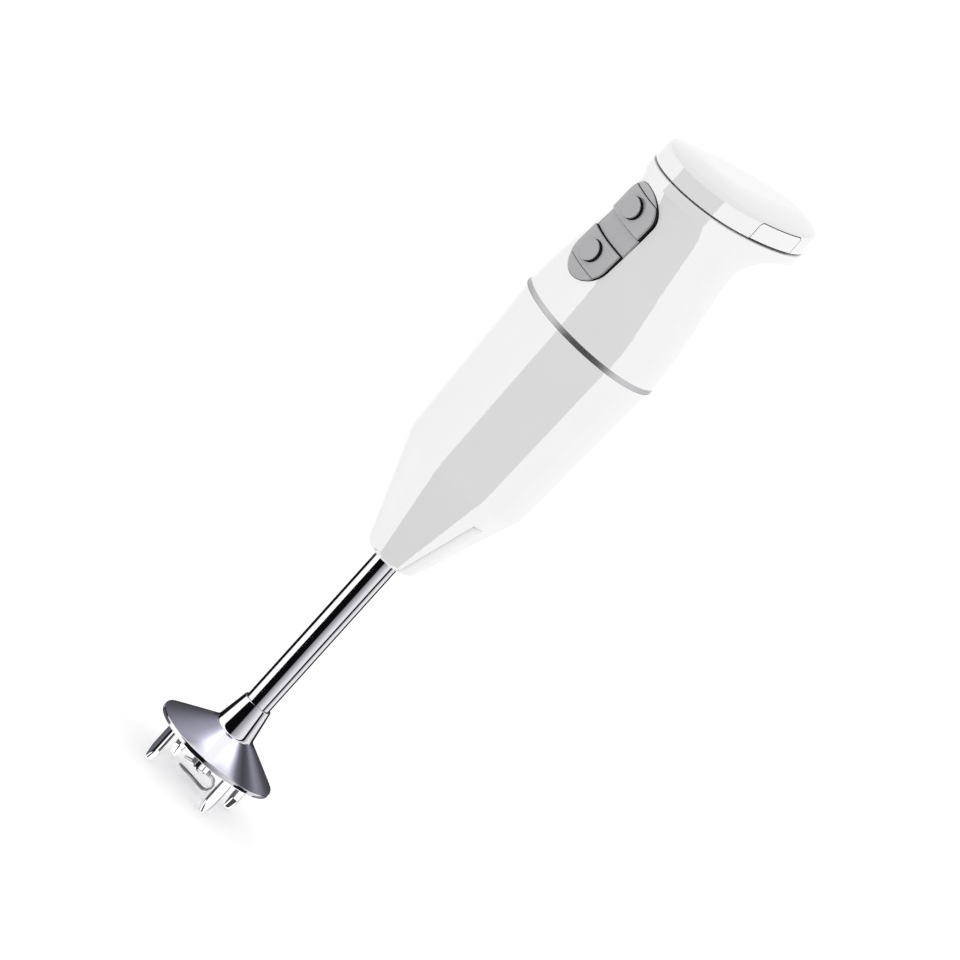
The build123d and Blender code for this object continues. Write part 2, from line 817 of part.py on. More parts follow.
with BuildPart() as cooling_fan:
    with BuildSketch(Plane.XY.offset(coupling_z + fan_rise)):
        Circle(fan_hub_r)
        with PolarLocations((fan_hub_r + fan_r) / 2 - fan_blade_thickness, fan_blades):
            Rectangle(fan_r - fan_hub_r + 2 * fan_blade_thickness, fan_blade_thickness)
        Circle(coupling_r + seat_gap, mode=Mode.SUBTRACT)
    extrude(amount=fan_height)

# Upper housing: the grip with its bay floor, deck, keypad sleeve and rear overhang
with BuildPart() as handle_form:
    low_z = ring_z - ring_r * tan(radians(ring_tilt))
    flare_heights = [
        flare_z + (lip_z - flare_z) * share**flare_bunching for share in spread(0, 1, 8)
    ]
    for heights in (spread(low_z, flare_z, 12), flare_heights):
        for z in heights:
            with BuildSketch(Plane.XY.offset(z)):
                add(oval(*handle_size(z)))
        loft()
    with BuildSketch(Plane.XY.offset(lip_z)):
        add(oval(*lip_size))
    extrude(amount=lip_height)
    fillet(handle_form.edges().group_by(Axis.Z)[-1], lip_edge_r)

with BuildPart() as handle_core:
    for z in spread(floor_top_z, flare_z, 8) + spread(flare_z, deck_z, 8)[1:]:
        with BuildSketch(Plane.XY.offset(z)):
            add(oval(*shrink(handle_size(z - cavity_lift), housing_wall)))
    loft(ruled=True)
    with BuildSketch(Plane.XZ.offset(ledge_back)):
        with Locations((0, keypad_mid_z)):
            SlotOverall(
                keypad_height + 2 * sleeve_wall,
                keypad_width + 2 * sleeve_wall,
                rotation=90,
            )
    extrude(amount=keypad_r, mode=Mode.SUBTRACT)

with BuildPart() as upper_housing:
    add(handle_form.part)
    split(bisect_by=ring_top_plane, keep=Keep.TOP)
    add(handle_core.part, mode=Mode.SUBTRACT)
    with BuildSketch(Plane.XY.offset(floor_z)):
        Circle(tongue_r + tongue_gap)
    extrude(amount=-floor_z + ring_z - barrel_over, mode=Mode.SUBTRACT)
    with BuildSketch(Plane.XY.offset(floor_z)):
        with PolarLocations(housing_screw_circle_r, housing_screw_count, housing_screw_turn):
            Circle(screw_r + seat_gap)
        with PolarLocations(lead_side, 2):
            Circle(lead_r + seat_gap)
    extrude(amount=floor_thickness, mode=Mode.SUBTRACT)
    with BuildSketch(Plane.XY.offset(deck_z)):
        add(oval(*shrink(case_size, -pack_gap)))
    extrude(amount=deck_thickness, mode=Mode.SUBTRACT)
    with BuildSketch(Plane.XZ.offset(ledge_front)):
        with Locations((0, keypad_mid_z)):
            SlotOverall(keypad_height, keypad_width, rotation=90)
    extrude(amount=keypad_r, mode=Mode.SUBTRACT)
    with BuildSketch(Plane.XZ.offset(ledge_back)):
        with Locations((0, keypad_mid_z)):
            SlotOverall(
                keypad_height - 2 * ledge_width,
                keypad_width - 2 * ledge_width,
                rotation=90,
            )
    extrude(amount=ledge_thickness, mode=Mode.SUBTRACT)

with BuildPart() as housing_screws:
    with BuildSketch(Plane.XY.offset(floor_top_z + seat_gap)):
        with PolarLocations(housing_screw_circle_r, housing_screw_count, housing_screw_turn):
            Circle(screw_head_r)
    extrude(amount=screw_head)
    with BuildSketch(Plane.XY.offset(floor_top_z + seat_gap)):
        with PolarLocations(housing_screw_circle_r, housing_screw_count, housing_screw_turn):
            Circle(screw_r)
    extrude(amount=-floor_thickness - housing_screw_bite)

# Contact block on the bay floor, its contacts, and the wires that leave it
with BuildPart() as contact_block:
    with BuildSketch(Plane.XY.offset(floor_top_z + seat_gap)):
        RectangleRounded(contact_block_x, contact_block_y, lead_r)
    extrude(amount=contact_block_height - seat_gap)

with BuildPart() as bay_contacts:
    with BuildSketch(Plane.XY.offset(block_top_z + seat_gap)):
        with PolarLocations(terminal_side, 2):
            Rectangle(
                terminal_x - 2 * terminal_margin, terminal_y - 2 * terminal_margin
            )
    extrude(amount=case_z - touch_gap - block_top_z - seat_gap)

with BuildPart() as motor_leads:
    with BuildSketch(Plane.XY.offset(end_cap_top_z + seat_gap)):
        with PolarLocations(lead_side, 2):
            Circle(lead_r)
    extrude(amount=floor_top_z - end_cap_top_z - seat_gap)

ribbon_z = floor_top_z + ribbon_foot
ribbon_y = -contact_block_y / 2 - seat_gap
with BuildPart() as board_ribbon:
    with BuildLine(Plane.YZ.offset(ribbon_side)) as ribbon_path:
        FilletPolyline(
            (ribbon_y, ribbon_z),
            (-board_back + ribbon_stand, ribbon_z),
            (-board_back + ribbon_stand, ribbon_z + ribbon_rise),
            (-board_back + seat_gap, ribbon_z + ribbon_rise),
            radius=ribbon_bend_r,
        )
    with BuildSketch(Plane.XZ.offset(-ribbon_y)):
        with Locations((ribbon_side, ribbon_z)):
            Rectangle(ribbon_width, ribbon_thickness)
    sweep()

# Keypad: frame, gasket, buttons, board and switches
def keypad_form(proud):
    """Round solid whose skin follows the front of the grip along the keypad and stands proud of it."""
    with BuildPart() as form:
        for z in spread(keypad_z, keypad_top_z, 8):
            with BuildSketch(Plane.XY.offset(z)):
                Circle(handle_size(z)[1] + proud)
        loft()
    return form.part


step_z = low_pad_z + low_pad_height
post_places = [
    (0, keypad_z + post_end),
    (-post_side, step_z + step_height / 2),
    (post_side, step_z + step_height / 2),
    (0, keypad_top_z - post_end),
]
with BuildPart() as step_cut:
    with BuildSketch(Plane.XY.offset(step_z)):
        Circle(keypad_reach)
    extrude(amount=step_height)
    add(keypad_form(keypad_proud - step_depth), mode=Mode.SUBTRACT)

with BuildPart() as keypad_frame:
    with BuildSketch(Plane.XZ.offset(frame_back)):
        with Locations((0, keypad_mid_z)):
            SlotOverall(
                keypad_height - 2 * keypad_gap,
                keypad_width - 2 * keypad_gap,
                rotation=90,
            )
    extrude(amount=keypad_reach - frame_back)
    add(keypad_form(keypad_proud), mode=Mode.INTERSECT)
    add(step_cut.part, mode=Mode.SUBTRACT)
    for pad_z, pad_height in (
        (low_pad_z, low_pad_height),
        (high_pad_z, high_pad_height),
    ):
        with BuildSketch(Plane.XZ.offset(plate_front)):
            with Locations((0, pad_z + pad_height / 2)):
                Rectangle(keypad_width, pad_height)
        extrude(amount=keypad_reach - plate_front, mode=Mode.SUBTRACT)
        with BuildSketch(Plane.XZ.offset(frame_back)):
            with Locations((0, pad_z + pad_height / 2)):
                Circle(window_r)
        extrude(amount=plate_thickness, mode=Mode.SUBTRACT)
    with BuildSketch(Plane.XZ.offset(frame_back)):
        with Locations(*post_places):
            Circle(post_r)
    extrude(amount=board_front - frame_back)
    with BuildSketch(Plane.XZ.offset(board_front)):
        with Locations(*post_places):
            Circle(board_screw_r + seat_gap)
    extrude(amount=board_screw_bite, mode=Mode.SUBTRACT)

with BuildPart() as keypad_gasket:
    with BuildSketch(Plane.XZ.offset(ledge_front + seat_gap)):
        with Locations((0, keypad_mid_z)):
            SlotOverall(
                keypad_height - 2 * keypad_gap,
                keypad_width - 2 * keypad_gap,
                rotation=90,
            )
            SlotOverall(
                keypad_height - 2 * ledge_width,
                keypad_width - 2 * ledge_width,
                rotation=90,
                mode=Mode.SUBTRACT,
            )
    extrude(amount=gasket_thickness - 2 * seat_gap)


def button_outline(pad_z, pad_height):
    """Outline of a pad: the keypad's opening, drawn in by the gap, between two heights."""
    with BuildSketch() as outline:
        with Locations((0, keypad_mid_z)):
            SlotOverall(
                keypad_height - 2 * button_gap,
                keypad_width - 2 * button_gap,
                rotation=90,
            )
        with Locations((0, pad_z + pad_height / 2)):
            Rectangle(
                keypad_width, pad_height - 2 * button_gap, mode=Mode.INTERSECT
            )
    return outline.sketch


def knob(knob_z):
    """Round knob of a button, its face parallel to the button's."""
    with BuildPart() as form:
        with BuildSketch(Plane.XZ.offset(pad_back)):
            with Locations((0, knob_z)):
                Circle(knob_r)
        extrude(amount=keypad_reach - pad_back)
        add(keypad_form(knob_face), mode=Mode.INTERSECT)
        fillet(form.faces().sort_by(Axis.Y)[0].edges(), knob_edge_r)
    return form.part


with BuildPart() as low_speed_button:
    with BuildSketch(Plane.XZ.offset(pad_back)):
        add(button_outline(low_pad_z, low_pad_height))
    extrude(amount=keypad_reach - pad_back)
    add(keypad_form(pad_face), mode=Mode.INTERSECT)
    add(knob(low_knob_z))

with BuildPart() as high_speed_button:
    with BuildSketch(Plane.XZ.offset(pad_back)):
        add(button_outline(high_pad_z, high_pad_height))
    extrude(amount=keypad_reach - pad_back)
    add(keypad_form(pad_face), mode=Mode.INTERSECT)
    add(knob(high_knob_z))

with BuildPart() as control_board:
    with BuildSketch(Plane.XZ.offset(board_back)):
        with Locations((0, keypad_mid_z)):
            RectangleRounded(
                2 * board_half_width, keypad_height - 2 * board_end, post_r
            )
        with Locations(*post_places):
            Circle(board_screw_r + seat_gap, mode=Mode.SUBTRACT)
    extrude(amount=board_thickness - seat_gap)

with BuildPart() as board_screws:
    with BuildSketch(Plane.XZ.offset(board_back - seat_gap)):
        with Locations(*post_places):
            Circle(board_screw_head_r)
    extrude(amount=-board_screw_head)
    with BuildSketch(Plane.XZ.offset(board_back - seat_gap)):
        with Locations(*post_places):
            Circle(board_screw_r)
    extrude(amount=board_thickness + board_screw_bite)

with BuildPart() as speed_switches:
    with BuildSketch(Plane.XZ.offset(board_front)):
        with Locations((0, low_knob_z), (0, high_knob_z)):
            RectangleRounded(switch_size, switch_size, switch_size / 10)
    extrude(amount=switch_body)
    with BuildSketch(Plane.XZ.offset(board_front)):
        with Locations((0, low_knob_z), (0, high_knob_z)):
            Circle(switch_plunger_r)
    extrude(amount=switch_tip - board_front)

# Battery pack: case, cells, links, board, terminals, cap and release buttons
with BuildPart() as battery_case:
    with BuildSketch(Plane.XY.offset(case_z)):
        add(oval(*case_size))
    extrude(amount=case_drop)
    with BuildSketch(Plane.XY.offset(seam_z + seat_gap)):
        add(oval(*shrink(cap_size, cap_shell + seat_gap)))
    extrude(amount=flange_thickness)
    with BuildSketch(Plane.XY.offset(seam_z + seat_gap)):
        with Locations((0, (release_front + release_rear) / 2)):
            Rectangle(2 * cap_size[0], release_rear - release_front)
        add(
            oval(*shrink(cap_size, cap_shell + release_travel + button_gap)),
            mode=Mode.SUBTRACT,
        )
    extrude(amount=flange_thickness, mode=Mode.SUBTRACT)
    with BuildSketch(Plane.XY.offset(seam_z)):
        add(oval(*case_size))
    extrude(amount=flange_thickness)
    with BuildSketch(Plane.XY.offset(case_z + case_floor)):
        add(oval(*shrink(case_size, case_wall)))
    extrude(amount=case_drop + flange_thickness, mode=Mode.SUBTRACT)
    with BuildSketch(Plane.XY.offset(case_z)):
        with PolarLocations(terminal_side, 2):
            Rectangle(terminal_x + 2 * seat_gap, terminal_y + 2 * seat_gap)
    extrude(amount=case_floor, mode=Mode.SUBTRACT)

cell_places = [
    (cell_side, cell_rear),
    (-cell_side, cell_rear),
    (0, -cell_front),
]
with BuildPart() as battery_cells:
    with BuildSketch(Plane.XY.offset(cell_z)):
        with Locations(*cell_places):
            Circle(cell_r)
    extrude(amount=cell_length)
    fillet(battery_cells.edges().filter_by(GeomType.CIRCLE), cell_r / 12)

with BuildPart() as cell_links:
    for link_z in (cell_z - seat_gap - link_thickness, cell_top_z + seat_gap):
        with BuildSketch(Plane.XY.offset(link_z)):
            with Locations((0, cell_rear)):
                Rectangle(2 * cell_side + link_width, link_width)
            with Locations((0, -cell_front)):
                Rectangle(link_width, link_width)
        extrude(amount=link_thickness)

with BuildPart() as battery_board:
    with BuildSketch(Plane.XY.offset(cell_top_z + link_thickness + 2 * seat_gap)):
        with Locations((0, (cell_rear - cell_front) / 2)):
            RectangleRounded(pack_board_x, pack_board_y, lead_r)
    extrude(amount=pack_board_thickness)

with BuildPart() as pack_terminals:
    with BuildSketch(Plane.XY.offset(case_z)):
        with PolarLocations(terminal_side, 2):
            Rectangle(terminal_x, terminal_y)
    extrude(amount=case_floor)

with BuildPart() as cap_form:
    with BuildSketch(Plane.XY.offset(cap_z)):
        add(oval(*cap_size))
    extrude(amount=cap_wall_height)
    for rings in (cap_edge(0), cap_crown(0)):
        for z, inset in rings:
            with BuildSketch(Plane.XY.offset(z)):
                add(oval(*shrink(cap_size, inset)))
        loft()
    fillet(cap_form.edges().group_by(Axis.Z)[0], lip_edge_r)

with BuildPart() as cap_core:
    with BuildSketch(Plane.XY.offset(cap_z)):
        add(oval(*shrink(cap_size, cap_shell)))
    extrude(amount=cap_wall_height - cap_shell)
    for rings in (cap_edge(cap_shell), cap_crown(cap_shell)):
        for z, inset in rings:
            with BuildSketch(Plane.XY.offset(z)):
                add(oval(*shrink(cap_size, inset)))
        loft()


def release_outline(gap):
    """Side view of a release button, from the foot of the cap up, drawn in by a gap."""
    with BuildSketch() as outline:
        with Locations(((release_front + release_rear) / 2, cap_z + release_height / 2)):
            Rectangle(release_rear - release_front - 2 * gap, release_height - 2 * gap)
        fillet(outline.vertices().group_by(Axis.Y)[-1], release_corner_r - gap)
    return outline.sketch


with BuildPart() as battery_cap:
    add(cap_form.part)
    add(cap_core.part, mode=Mode.SUBTRACT)
    with BuildSketch(Plane.YZ):
        add(release_outline(0))
        with Locations(((release_front + release_rear) / 2, cap_z)):
            Rectangle(release_rear - release_front, release_height)
    extrude(amount=lip_rear, both=True, mode=Mode.SUBTRACT)

with BuildPart() as release_button_right:
    add(cap_form.part)
    add(cap_core.part, mode=Mode.SUBTRACT)
    with BuildSketch(Plane.YZ):
        add(release_outline(button_gap))
    extrude(amount=lip_rear, mode=Mode.INTERSECT)

with BuildPart() as release_button_left:
    mirror(release_button_right.part, about=Plane.YZ)

pieces = {
    "blade_guard": blade_guard,
    "guard_collar": guard_collar,
    "shaft_seal": shaft_seal,
    "lower_bearing": lower_bearing,
    "shaft_tube": shaft_tube,
    "upper_bearing": upper_bearing,
    "drive_shaft": drive_shaft,
    "cutting_blade": cutting_blade,
    "blade_hub": blade_hub,
    "blade_rivet": blade_rivet,
    "lower_housing": lower_housing,
    "nose_seal": nose_seal,
    "tube_clamp": tube_clamp,
    "seam_ring": seam_ring,
    "motor_mount": motor_mount,
    "mount_screws": mount_screws,
    "motor_screws": motor_screws,
    "motor_can": motor_can,
    "front_motor_bearing": front_motor_bearing,
    "motor_magnets": motor_magnets,
    "armature_core": armature_core,
    "armature_windings": armature_windings,
    "commutator": commutator,
    "carbon_brushes": carbon_brushes,
    "motor_end_cap": motor_end_cap,
    "rear_motor_bearing": rear_motor_bearing,
    "motor_shaft": motor_shaft,
    "drive_coupling": drive_coupling,
    "cooling_fan": cooling_fan,
    "upper_housing": upper_housing,
    "housing_screws": housing_screws,
    "contact_block": contact_block,
    "bay_contacts": bay_contacts,
    "motor_leads": motor_leads,
    "board_ribbon": board_ribbon,
    "keypad_frame": keypad_frame,
    "keypad_gasket": keypad_gasket,
    "low_speed_button": low_speed_button,
    "high_speed_button": high_speed_button,
    "control_board": control_board,
    "board_screws": board_screws,
    "speed_switches": speed_switches,
    "battery_case": battery_case,
    "battery_cells": battery_cells,
    "cell_links": cell_links,
    "battery_board": battery_board,
    "pack_terminals": pack_terminals,
    "battery_cap": battery_cap,
    "release_button_right": release_button_right,
    "release_button_left": release_button_left,
}

os.makedirs("parts", exist_ok=True)
for label, piece in pieces.items():
    piece.part.label = label
    export_step(piece.part, f"parts/{label}.step")
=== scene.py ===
"""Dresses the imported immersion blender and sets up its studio.

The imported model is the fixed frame, in metres: +Z runs up the drive shaft, the buttons face -Y
and the guard's feet stand on z = 0.
"""

from math import cos, pi, radians, sin

import bpy
import numpy as np
from mathutils import Matrix, Vector


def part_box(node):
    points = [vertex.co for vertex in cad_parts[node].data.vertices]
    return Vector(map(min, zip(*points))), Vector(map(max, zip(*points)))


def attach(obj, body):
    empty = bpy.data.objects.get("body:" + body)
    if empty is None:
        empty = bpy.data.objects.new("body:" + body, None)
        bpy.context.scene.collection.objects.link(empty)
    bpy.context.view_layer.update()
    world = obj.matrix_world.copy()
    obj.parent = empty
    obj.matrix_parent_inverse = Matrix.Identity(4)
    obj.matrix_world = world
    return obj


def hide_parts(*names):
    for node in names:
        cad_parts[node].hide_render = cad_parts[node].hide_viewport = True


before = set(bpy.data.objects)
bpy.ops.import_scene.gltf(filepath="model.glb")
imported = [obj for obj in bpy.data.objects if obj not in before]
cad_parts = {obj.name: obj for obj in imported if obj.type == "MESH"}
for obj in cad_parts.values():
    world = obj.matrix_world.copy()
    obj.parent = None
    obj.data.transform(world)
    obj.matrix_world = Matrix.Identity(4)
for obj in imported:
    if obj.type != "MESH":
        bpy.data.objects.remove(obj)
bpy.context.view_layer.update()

bl_info = {
    "name": "Immersion Blender Dresser",
    "version": (1, 0, 0),
    "blender": (4, 5, 0),
    "location": "View3D > Sidebar > Immersion Blender",
    "description": "Finishes a cordless immersion blender and lights it in a plain studio",
    "category": "Add Mesh",
}


class FinishSettings(bpy.types.PropertyGroup):
    """Colours and gloss of the finishes that show."""

    shell_colour: bpy.props.FloatVectorProperty(
        name="Shell Colour",
        description="Colour of the white moulded shells",
        subtype="COLOR",
        size=3,
        min=0.0,
        max=1.0,
        default=(0.775, 0.775, 0.78),
    )
    shell_roughness: bpy.props.FloatProperty(
        name="Shell Roughness",
        description="Roughness of the polished plastic",
        subtype="FACTOR",
        min=0.0,
        max=1.0,
        default=0.04,
    )
    keypad_colour: bpy.props.FloatVectorProperty(
        name="Keypad Colour",
        description="Colour of the soft-touch keypad",
        subtype="COLOR",
        size=3,
        min=0.0,
        max=1.0,
        default=(0.30, 0.30, 0.315),
    )
    ring_colour: bpy.props.FloatVectorProperty(
        name="Seam Ring Colour",
        description="Colour of the satin ring between the two shells",
        subtype="COLOR",
        size=3,
        min=0.0,
        max=1.0,
        default=(0.27, 0.27, 0.28),
    )
    steel_colour: bpy.props.FloatVectorProperty(
        name="Steel Colour",
        description="Tint of the stainless steel",
        subtype="COLOR",
        size=3,
        min=0.0,
        max=1.0,
        default=(0.86, 0.86, 0.88),
    )


class ShapeSettings(bpy.types.PropertyGroup):
    """Sizes of the pieces that are shaped here."""

    knob_radius: bpy.props.FloatProperty(
        name="Knob Radius",
        description="Radius of the round knob on each speed button",
        subtype="DISTANCE",
        unit="LENGTH",
        default=0.0053,
    )
    pad_proud: bpy.props.FloatProperty(
        name="Pad Height",
        description="Height of the button faces above the grip",
        subtype="DISTANCE",
        unit="LENGTH",
        default=0.001,
    )
    knob_proud: bpy.props.FloatProperty(
        name="Knob Height",
        description="Height of each knob above its button",
        subtype="DISTANCE",
        unit="LENGTH",
        default=0.002,
    )
    step_sink: bpy.props.FloatProperty(
        name="Step Depth",
        description="Depth of the step between the buttons below the grip",
        subtype="DISTANCE",
        unit="LENGTH",
        default=0.0007,
    )
    pad_edge: bpy.props.FloatProperty(
        name="Pad Edge",
        description="Rounding of the edge of each button",
        subtype="DISTANCE",
        unit="LENGTH",
        default=0.0005,
    )
    bell_slope: bpy.props.FloatProperty(
        name="Bell Slope",
        description="Slope of the guard's bell above the level",
        subtype="ANGLE",
        default=radians(29.5),
    )
    bell_wall: bpy.props.FloatProperty(
        name="Bell Wall",
        description="Thickness of the guard's bell",
        subtype="DISTANCE",
        unit="LENGTH",
        default=0.0016,
    )
    leg_circle: bpy.props.FloatProperty(
        name="Leg Circle",
        description="Distance from the shaft axis to the middle of each leg",
        subtype="DISTANCE",
        unit="LENGTH",
        default=0.0246,
    )
    leg_turn: bpy.props.FloatProperty(
        name="Leg Turn",
        description="Angle of the first leg from +X",
        subtype="ANGLE",
        default=radians(-14.0),
    )
    leg_width: bpy.props.FloatProperty(
        name="Leg Width",
        description="Width of each leg along the rim",
        subtype="DISTANCE",
        unit="LENGTH",
        default=0.006,
    )
    leg_depth: bpy.props.FloatProperty(
        name="Leg Depth",
        description="Depth of each leg towards the shaft",
        subtype="DISTANCE",
        unit="LENGTH",
        default=0.0032,
    )
    blade_width: bpy.props.FloatProperty(
        name="Blade Width",
        description="Width of the blade's strip",
        subtype="DISTANCE",
        unit="LENGTH",
        default=0.005,
    )
    blade_thickness: bpy.props.FloatProperty(
        name="Blade Thickness",
        description="Thickness of the blade's strip",
        subtype="DISTANCE",
        unit="LENGTH",
        default=0.001,
    )
    blade_turn: bpy.props.FloatProperty(
        name="Blade Turn",
        description="Direction of the blade from +X at rest",
        subtype="ANGLE",
        default=radians(43.0),
    )


class StageSettings(bpy.types.PropertyGroup):
    """Camera and light of the studio."""

    azimuth: bpy.props.FloatProperty(
        name="Camera Azimuth",
        description="Turn of the camera from the front towards +X",
        subtype="ANGLE",
        default=radians(43.0),
    )
    elevation: bpy.props.FloatProperty(
        name="Camera Elevation",
        description="Height of the camera above the horizon",
        subtype="ANGLE",
        default=radians(14.5),
    )
    lean: bpy.props.FloatProperty(
        name="Picture Lean",
        description="Clockwise lean of the blender in the picture",
        subtype="ANGLE",
        default=radians(42.06),
    )
    distance: bpy.props.FloatProperty(
        name="Camera Distance",
        description="Distance from the camera to the blender",
        subtype="DISTANCE",
        unit="LENGTH",
        default=15.0,
    )
    field: bpy.props.FloatProperty(
        name="Field Width",
        description="Width of the picture at the blender",
        subtype="DISTANCE",
        unit="LENGTH",
        default=0.4291,
    )
    aim_height: bpy.props.FloatProperty(
        name="Aim Height",
        description="Height on the shaft axis of the picture's middle",
        subtype="DISTANCE",
        unit="LENGTH",
        default=0.1949,
    )
    aim_side: bpy.props.FloatProperty(
        name="Aim Side",
        description="Distance of the picture's middle to the right of the shaft axis",
        subtype="DISTANCE",
        unit="LENGTH",
        default=0.00675,
    )
    ambient: bpy.props.FloatProperty(
        name="Ambient Light",
        description="Level of the even light from all round",
        min=0.0,
        default=1.0,
    )
    panel: bpy.props.FloatProperty(
        name="Panel Brightness",
        description="Brightness of the softboxes where they are mirrored",
        min=0.0,
        default=2.8,
    )
    floor_radius: bpy.props.FloatProperty(
        name="Floor Radius",
        description="Radius of the round floor",
        subtype="DISTANCE",
        unit="LENGTH",
        default=1.5,
    )


# Values of the noise between which a finish runs from its darker to its lighter colour.
RAMP_ENDS = (0.3, 0.7)
# Scale of the broad patches in a plastic's gloss, and how far a metal's colour wanders.
PATCH_SCALE = 60.0
METAL_SPREAD = 0.03
# Stretch of the noise that draws marks out along the shaft.
DRAWN_OUT = (1.0, 1.0, 0.04)
# Largest part along a button's path of the normal of one of its walls.
WALL_LEAN = 0.3


def node_tree(material):
    """Empties a material's node tree and returns its nodes and links."""
    material.use_nodes = True
    material.node_tree.nodes.clear()
    return material.node_tree.nodes, material.node_tree.links


def surface(name):
    """New material with a Principled shader; returns the material, nodes, links and shader."""
    material = bpy.data.materials.new(name)
    nodes, links = node_tree(material)
    shader = nodes.new("ShaderNodeBsdfPrincipled")
    output = nodes.new("ShaderNodeOutputMaterial")
    links.new(shader.outputs["BSDF"], output.inputs["Surface"])
    return material, nodes, links, shader


def number(nodes, links, operation, *values):
    """Maths node whose inputs are sockets or plain numbers; returns its output."""
    node = nodes.new("ShaderNodeMath")
    node.operation = operation
    for socket, value in zip(node.inputs, values):
        if isinstance(value, bpy.types.NodeSocket):
            links.new(value, socket)
        else:
            socket.default_value = value
    return node.outputs[0]


def mix_shaders(nodes, links, factor, first, second):
    """Mix of two shaders' outputs, from first to second with factor; returns its output."""
    mix = nodes.new("ShaderNodeMixShader")
    for socket, source in zip(mix.inputs, (factor, first, second)):
        links.new(source, socket)
    return mix.outputs[0]


def object_noise(nodes, links, scale, stretch=(1.0, 1.0, 1.0)):
    """Noise on Object coordinates; stretch multiplies the coordinate along each axis."""
    place = nodes.new("ShaderNodeTexCoord")
    mapping = nodes.new("ShaderNodeMapping")
    mapping.inputs["Scale"].default_value = stretch
    noise = nodes.new("ShaderNodeTexNoise")
    noise.inputs["Scale"].default_value = scale
    noise.inputs["Detail"].default_value = 3.0
    links.new(place.outputs["Object"], mapping.inputs["Vector"])
    links.new(mapping.outputs["Vector"], noise.inputs["Vector"])
    return noise.outputs["Fac"]


def vary_colour(nodes, links, shader, factor, colour, spread):
    """Base colour that runs from colour times (1 - spread) to (1 + spread) times it with factor."""
    ramp = nodes.new("ShaderNodeValToRGB")
    shares = (1 - spread, 1 + spread)
    for element, share, place in zip(ramp.color_ramp.elements, shares, RAMP_ENDS):
        element.color = (*[min(part * share, 1.0) for part in colour], 1.0)
        element.position = place
    links.new(factor, ramp.inputs["Fac"])
    links.new(ramp.outputs["Color"], shader.inputs["Base Color"])


def vary_roughness(nodes, links, shader, factor, low, high):
    """Roughness that runs from low to high with factor."""
    span = nodes.new("ShaderNodeMapRange")
    span.inputs["To Min"].default_value = low
    span.inputs["To Max"].default_value = high
    links.new(factor, span.inputs["Value"])
    links.new(span.outputs["Result"], shader.inputs["Roughness"])


def bump(nodes, links, shader, height, depth):
    """Relief of the given depth in metres from a height between 0 and 1."""
    relief = nodes.new("ShaderNodeBump")
    relief.inputs["Strength"].default_value = 1.0
    relief.inputs["Distance"].default_value = depth
    links.new(height, relief.inputs["Height"])
    links.new(relief.outputs["Normal"], shader.inputs["Normal"])


def turned_lines(nodes, links, scale):
    """Noise on the distance from the shaft axis and on the height: rings, like lathe marks."""
    place = nodes.new("ShaderNodeTexCoord")
    split = nodes.new("ShaderNodeSeparateXYZ")
    flat = nodes.new("ShaderNodeCombineXYZ")
    length = nodes.new("ShaderNodeVectorMath")
    length.operation = "LENGTH"
    rings = nodes.new("ShaderNodeCombineXYZ")
    noise = nodes.new("ShaderNodeTexNoise")
    noise.inputs["Scale"].default_value = scale
    noise.inputs["Detail"].default_value = 2.0
    links.new(place.outputs["Object"], split.inputs["Vector"])
    links.new(split.outputs["X"], flat.inputs["X"])
    links.new(split.outputs["Y"], flat.inputs["Y"])
    links.new(flat.outputs["Vector"], length.inputs[0])
    links.new(length.outputs["Value"], rings.inputs["X"])
    links.new(split.outputs["Z"], rings.inputs["Y"])
    links.new(rings.outputs["Vector"], noise.inputs["Vector"])
    return noise.outputs["Fac"]


def shade_creases(nodes, links, shader, reach):
    """Dims the base colour by the cube of the share of sky that the piece leaves open."""
    shade = nodes.new("ShaderNodeAmbientOcclusion")
    shade.only_local = True
    shade.inputs["Distance"].default_value = reach
    base = shader.inputs["Base Color"]
    dimmed = nodes.new("ShaderNodeVectorMath")
    dimmed.operation = "SCALE"
    links.new(base.links[0].from_socket, dimmed.inputs[0])
    links.new(number(nodes, links, "POWER", shade.outputs["AO"], 3.0), dimmed.inputs["Scale"])
    links.new(dimmed.outputs["Vector"], base)


def plastic(
    name, colour, low, high, grain, depth, spread=0.015, gloss=0.5, coat=0.0, crease=0.0
):
    """Moulded plastic: grain of the given scale and depth, and roughness from low to high.

    Crease is the reach in metres of the shade in its corners.
    """
    material, nodes, links, shader = surface(name)
    broad = object_noise(nodes, links, PATCH_SCALE)
    fine = object_noise(nodes, links, grain)
    vary_colour(nodes, links, shader, broad, colour, spread)
    vary_roughness(nodes, links, shader, broad, low, high)
    bump(nodes, links, shader, fine, depth)
    if crease:
        shade_creases(nodes, links, shader, crease)
    shader.inputs["Specular IOR Level"].default_value = gloss
    shader.inputs["Coat Weight"].default_value = coat
    shader.inputs["Coat Roughness"].default_value = low
    return material


def metal(name, colour, low, high, scale, depth, rings=False, edge=(1.0, 1.0, 1.0)):
    """Metal with marks drawn out along the shaft, or lathe rings round it, of the given scale.

    Roughness runs from low to high, and edge tints the metal where it is seen at a glance.
    """
    material, nodes, links, shader = surface(name)
    if rings:
        marks = turned_lines(nodes, links, scale)
    else:
        marks = object_noise(nodes, links, scale, DRAWN_OUT)
    vary_colour(nodes, links, shader, marks, colour, METAL_SPREAD)
    vary_roughness(nodes, links, shader, marks, low, high)
    bump(nodes, links, shader, marks, depth)
    shader.inputs["Metallic"].default_value = 1.0
    shader.inputs["Specular Tint"].default_value = (*edge, 1.0)
    return material


def dress(material, *names):
    """Gives every face of the named CAD nodes one material."""
    for name in names:
        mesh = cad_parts[name].data
        mesh.materials.clear()
        mesh.materials.append(material)
        mesh.polygons.foreach_set("material_index", np.zeros(len(mesh.polygons), np.int32))
        mesh.update()


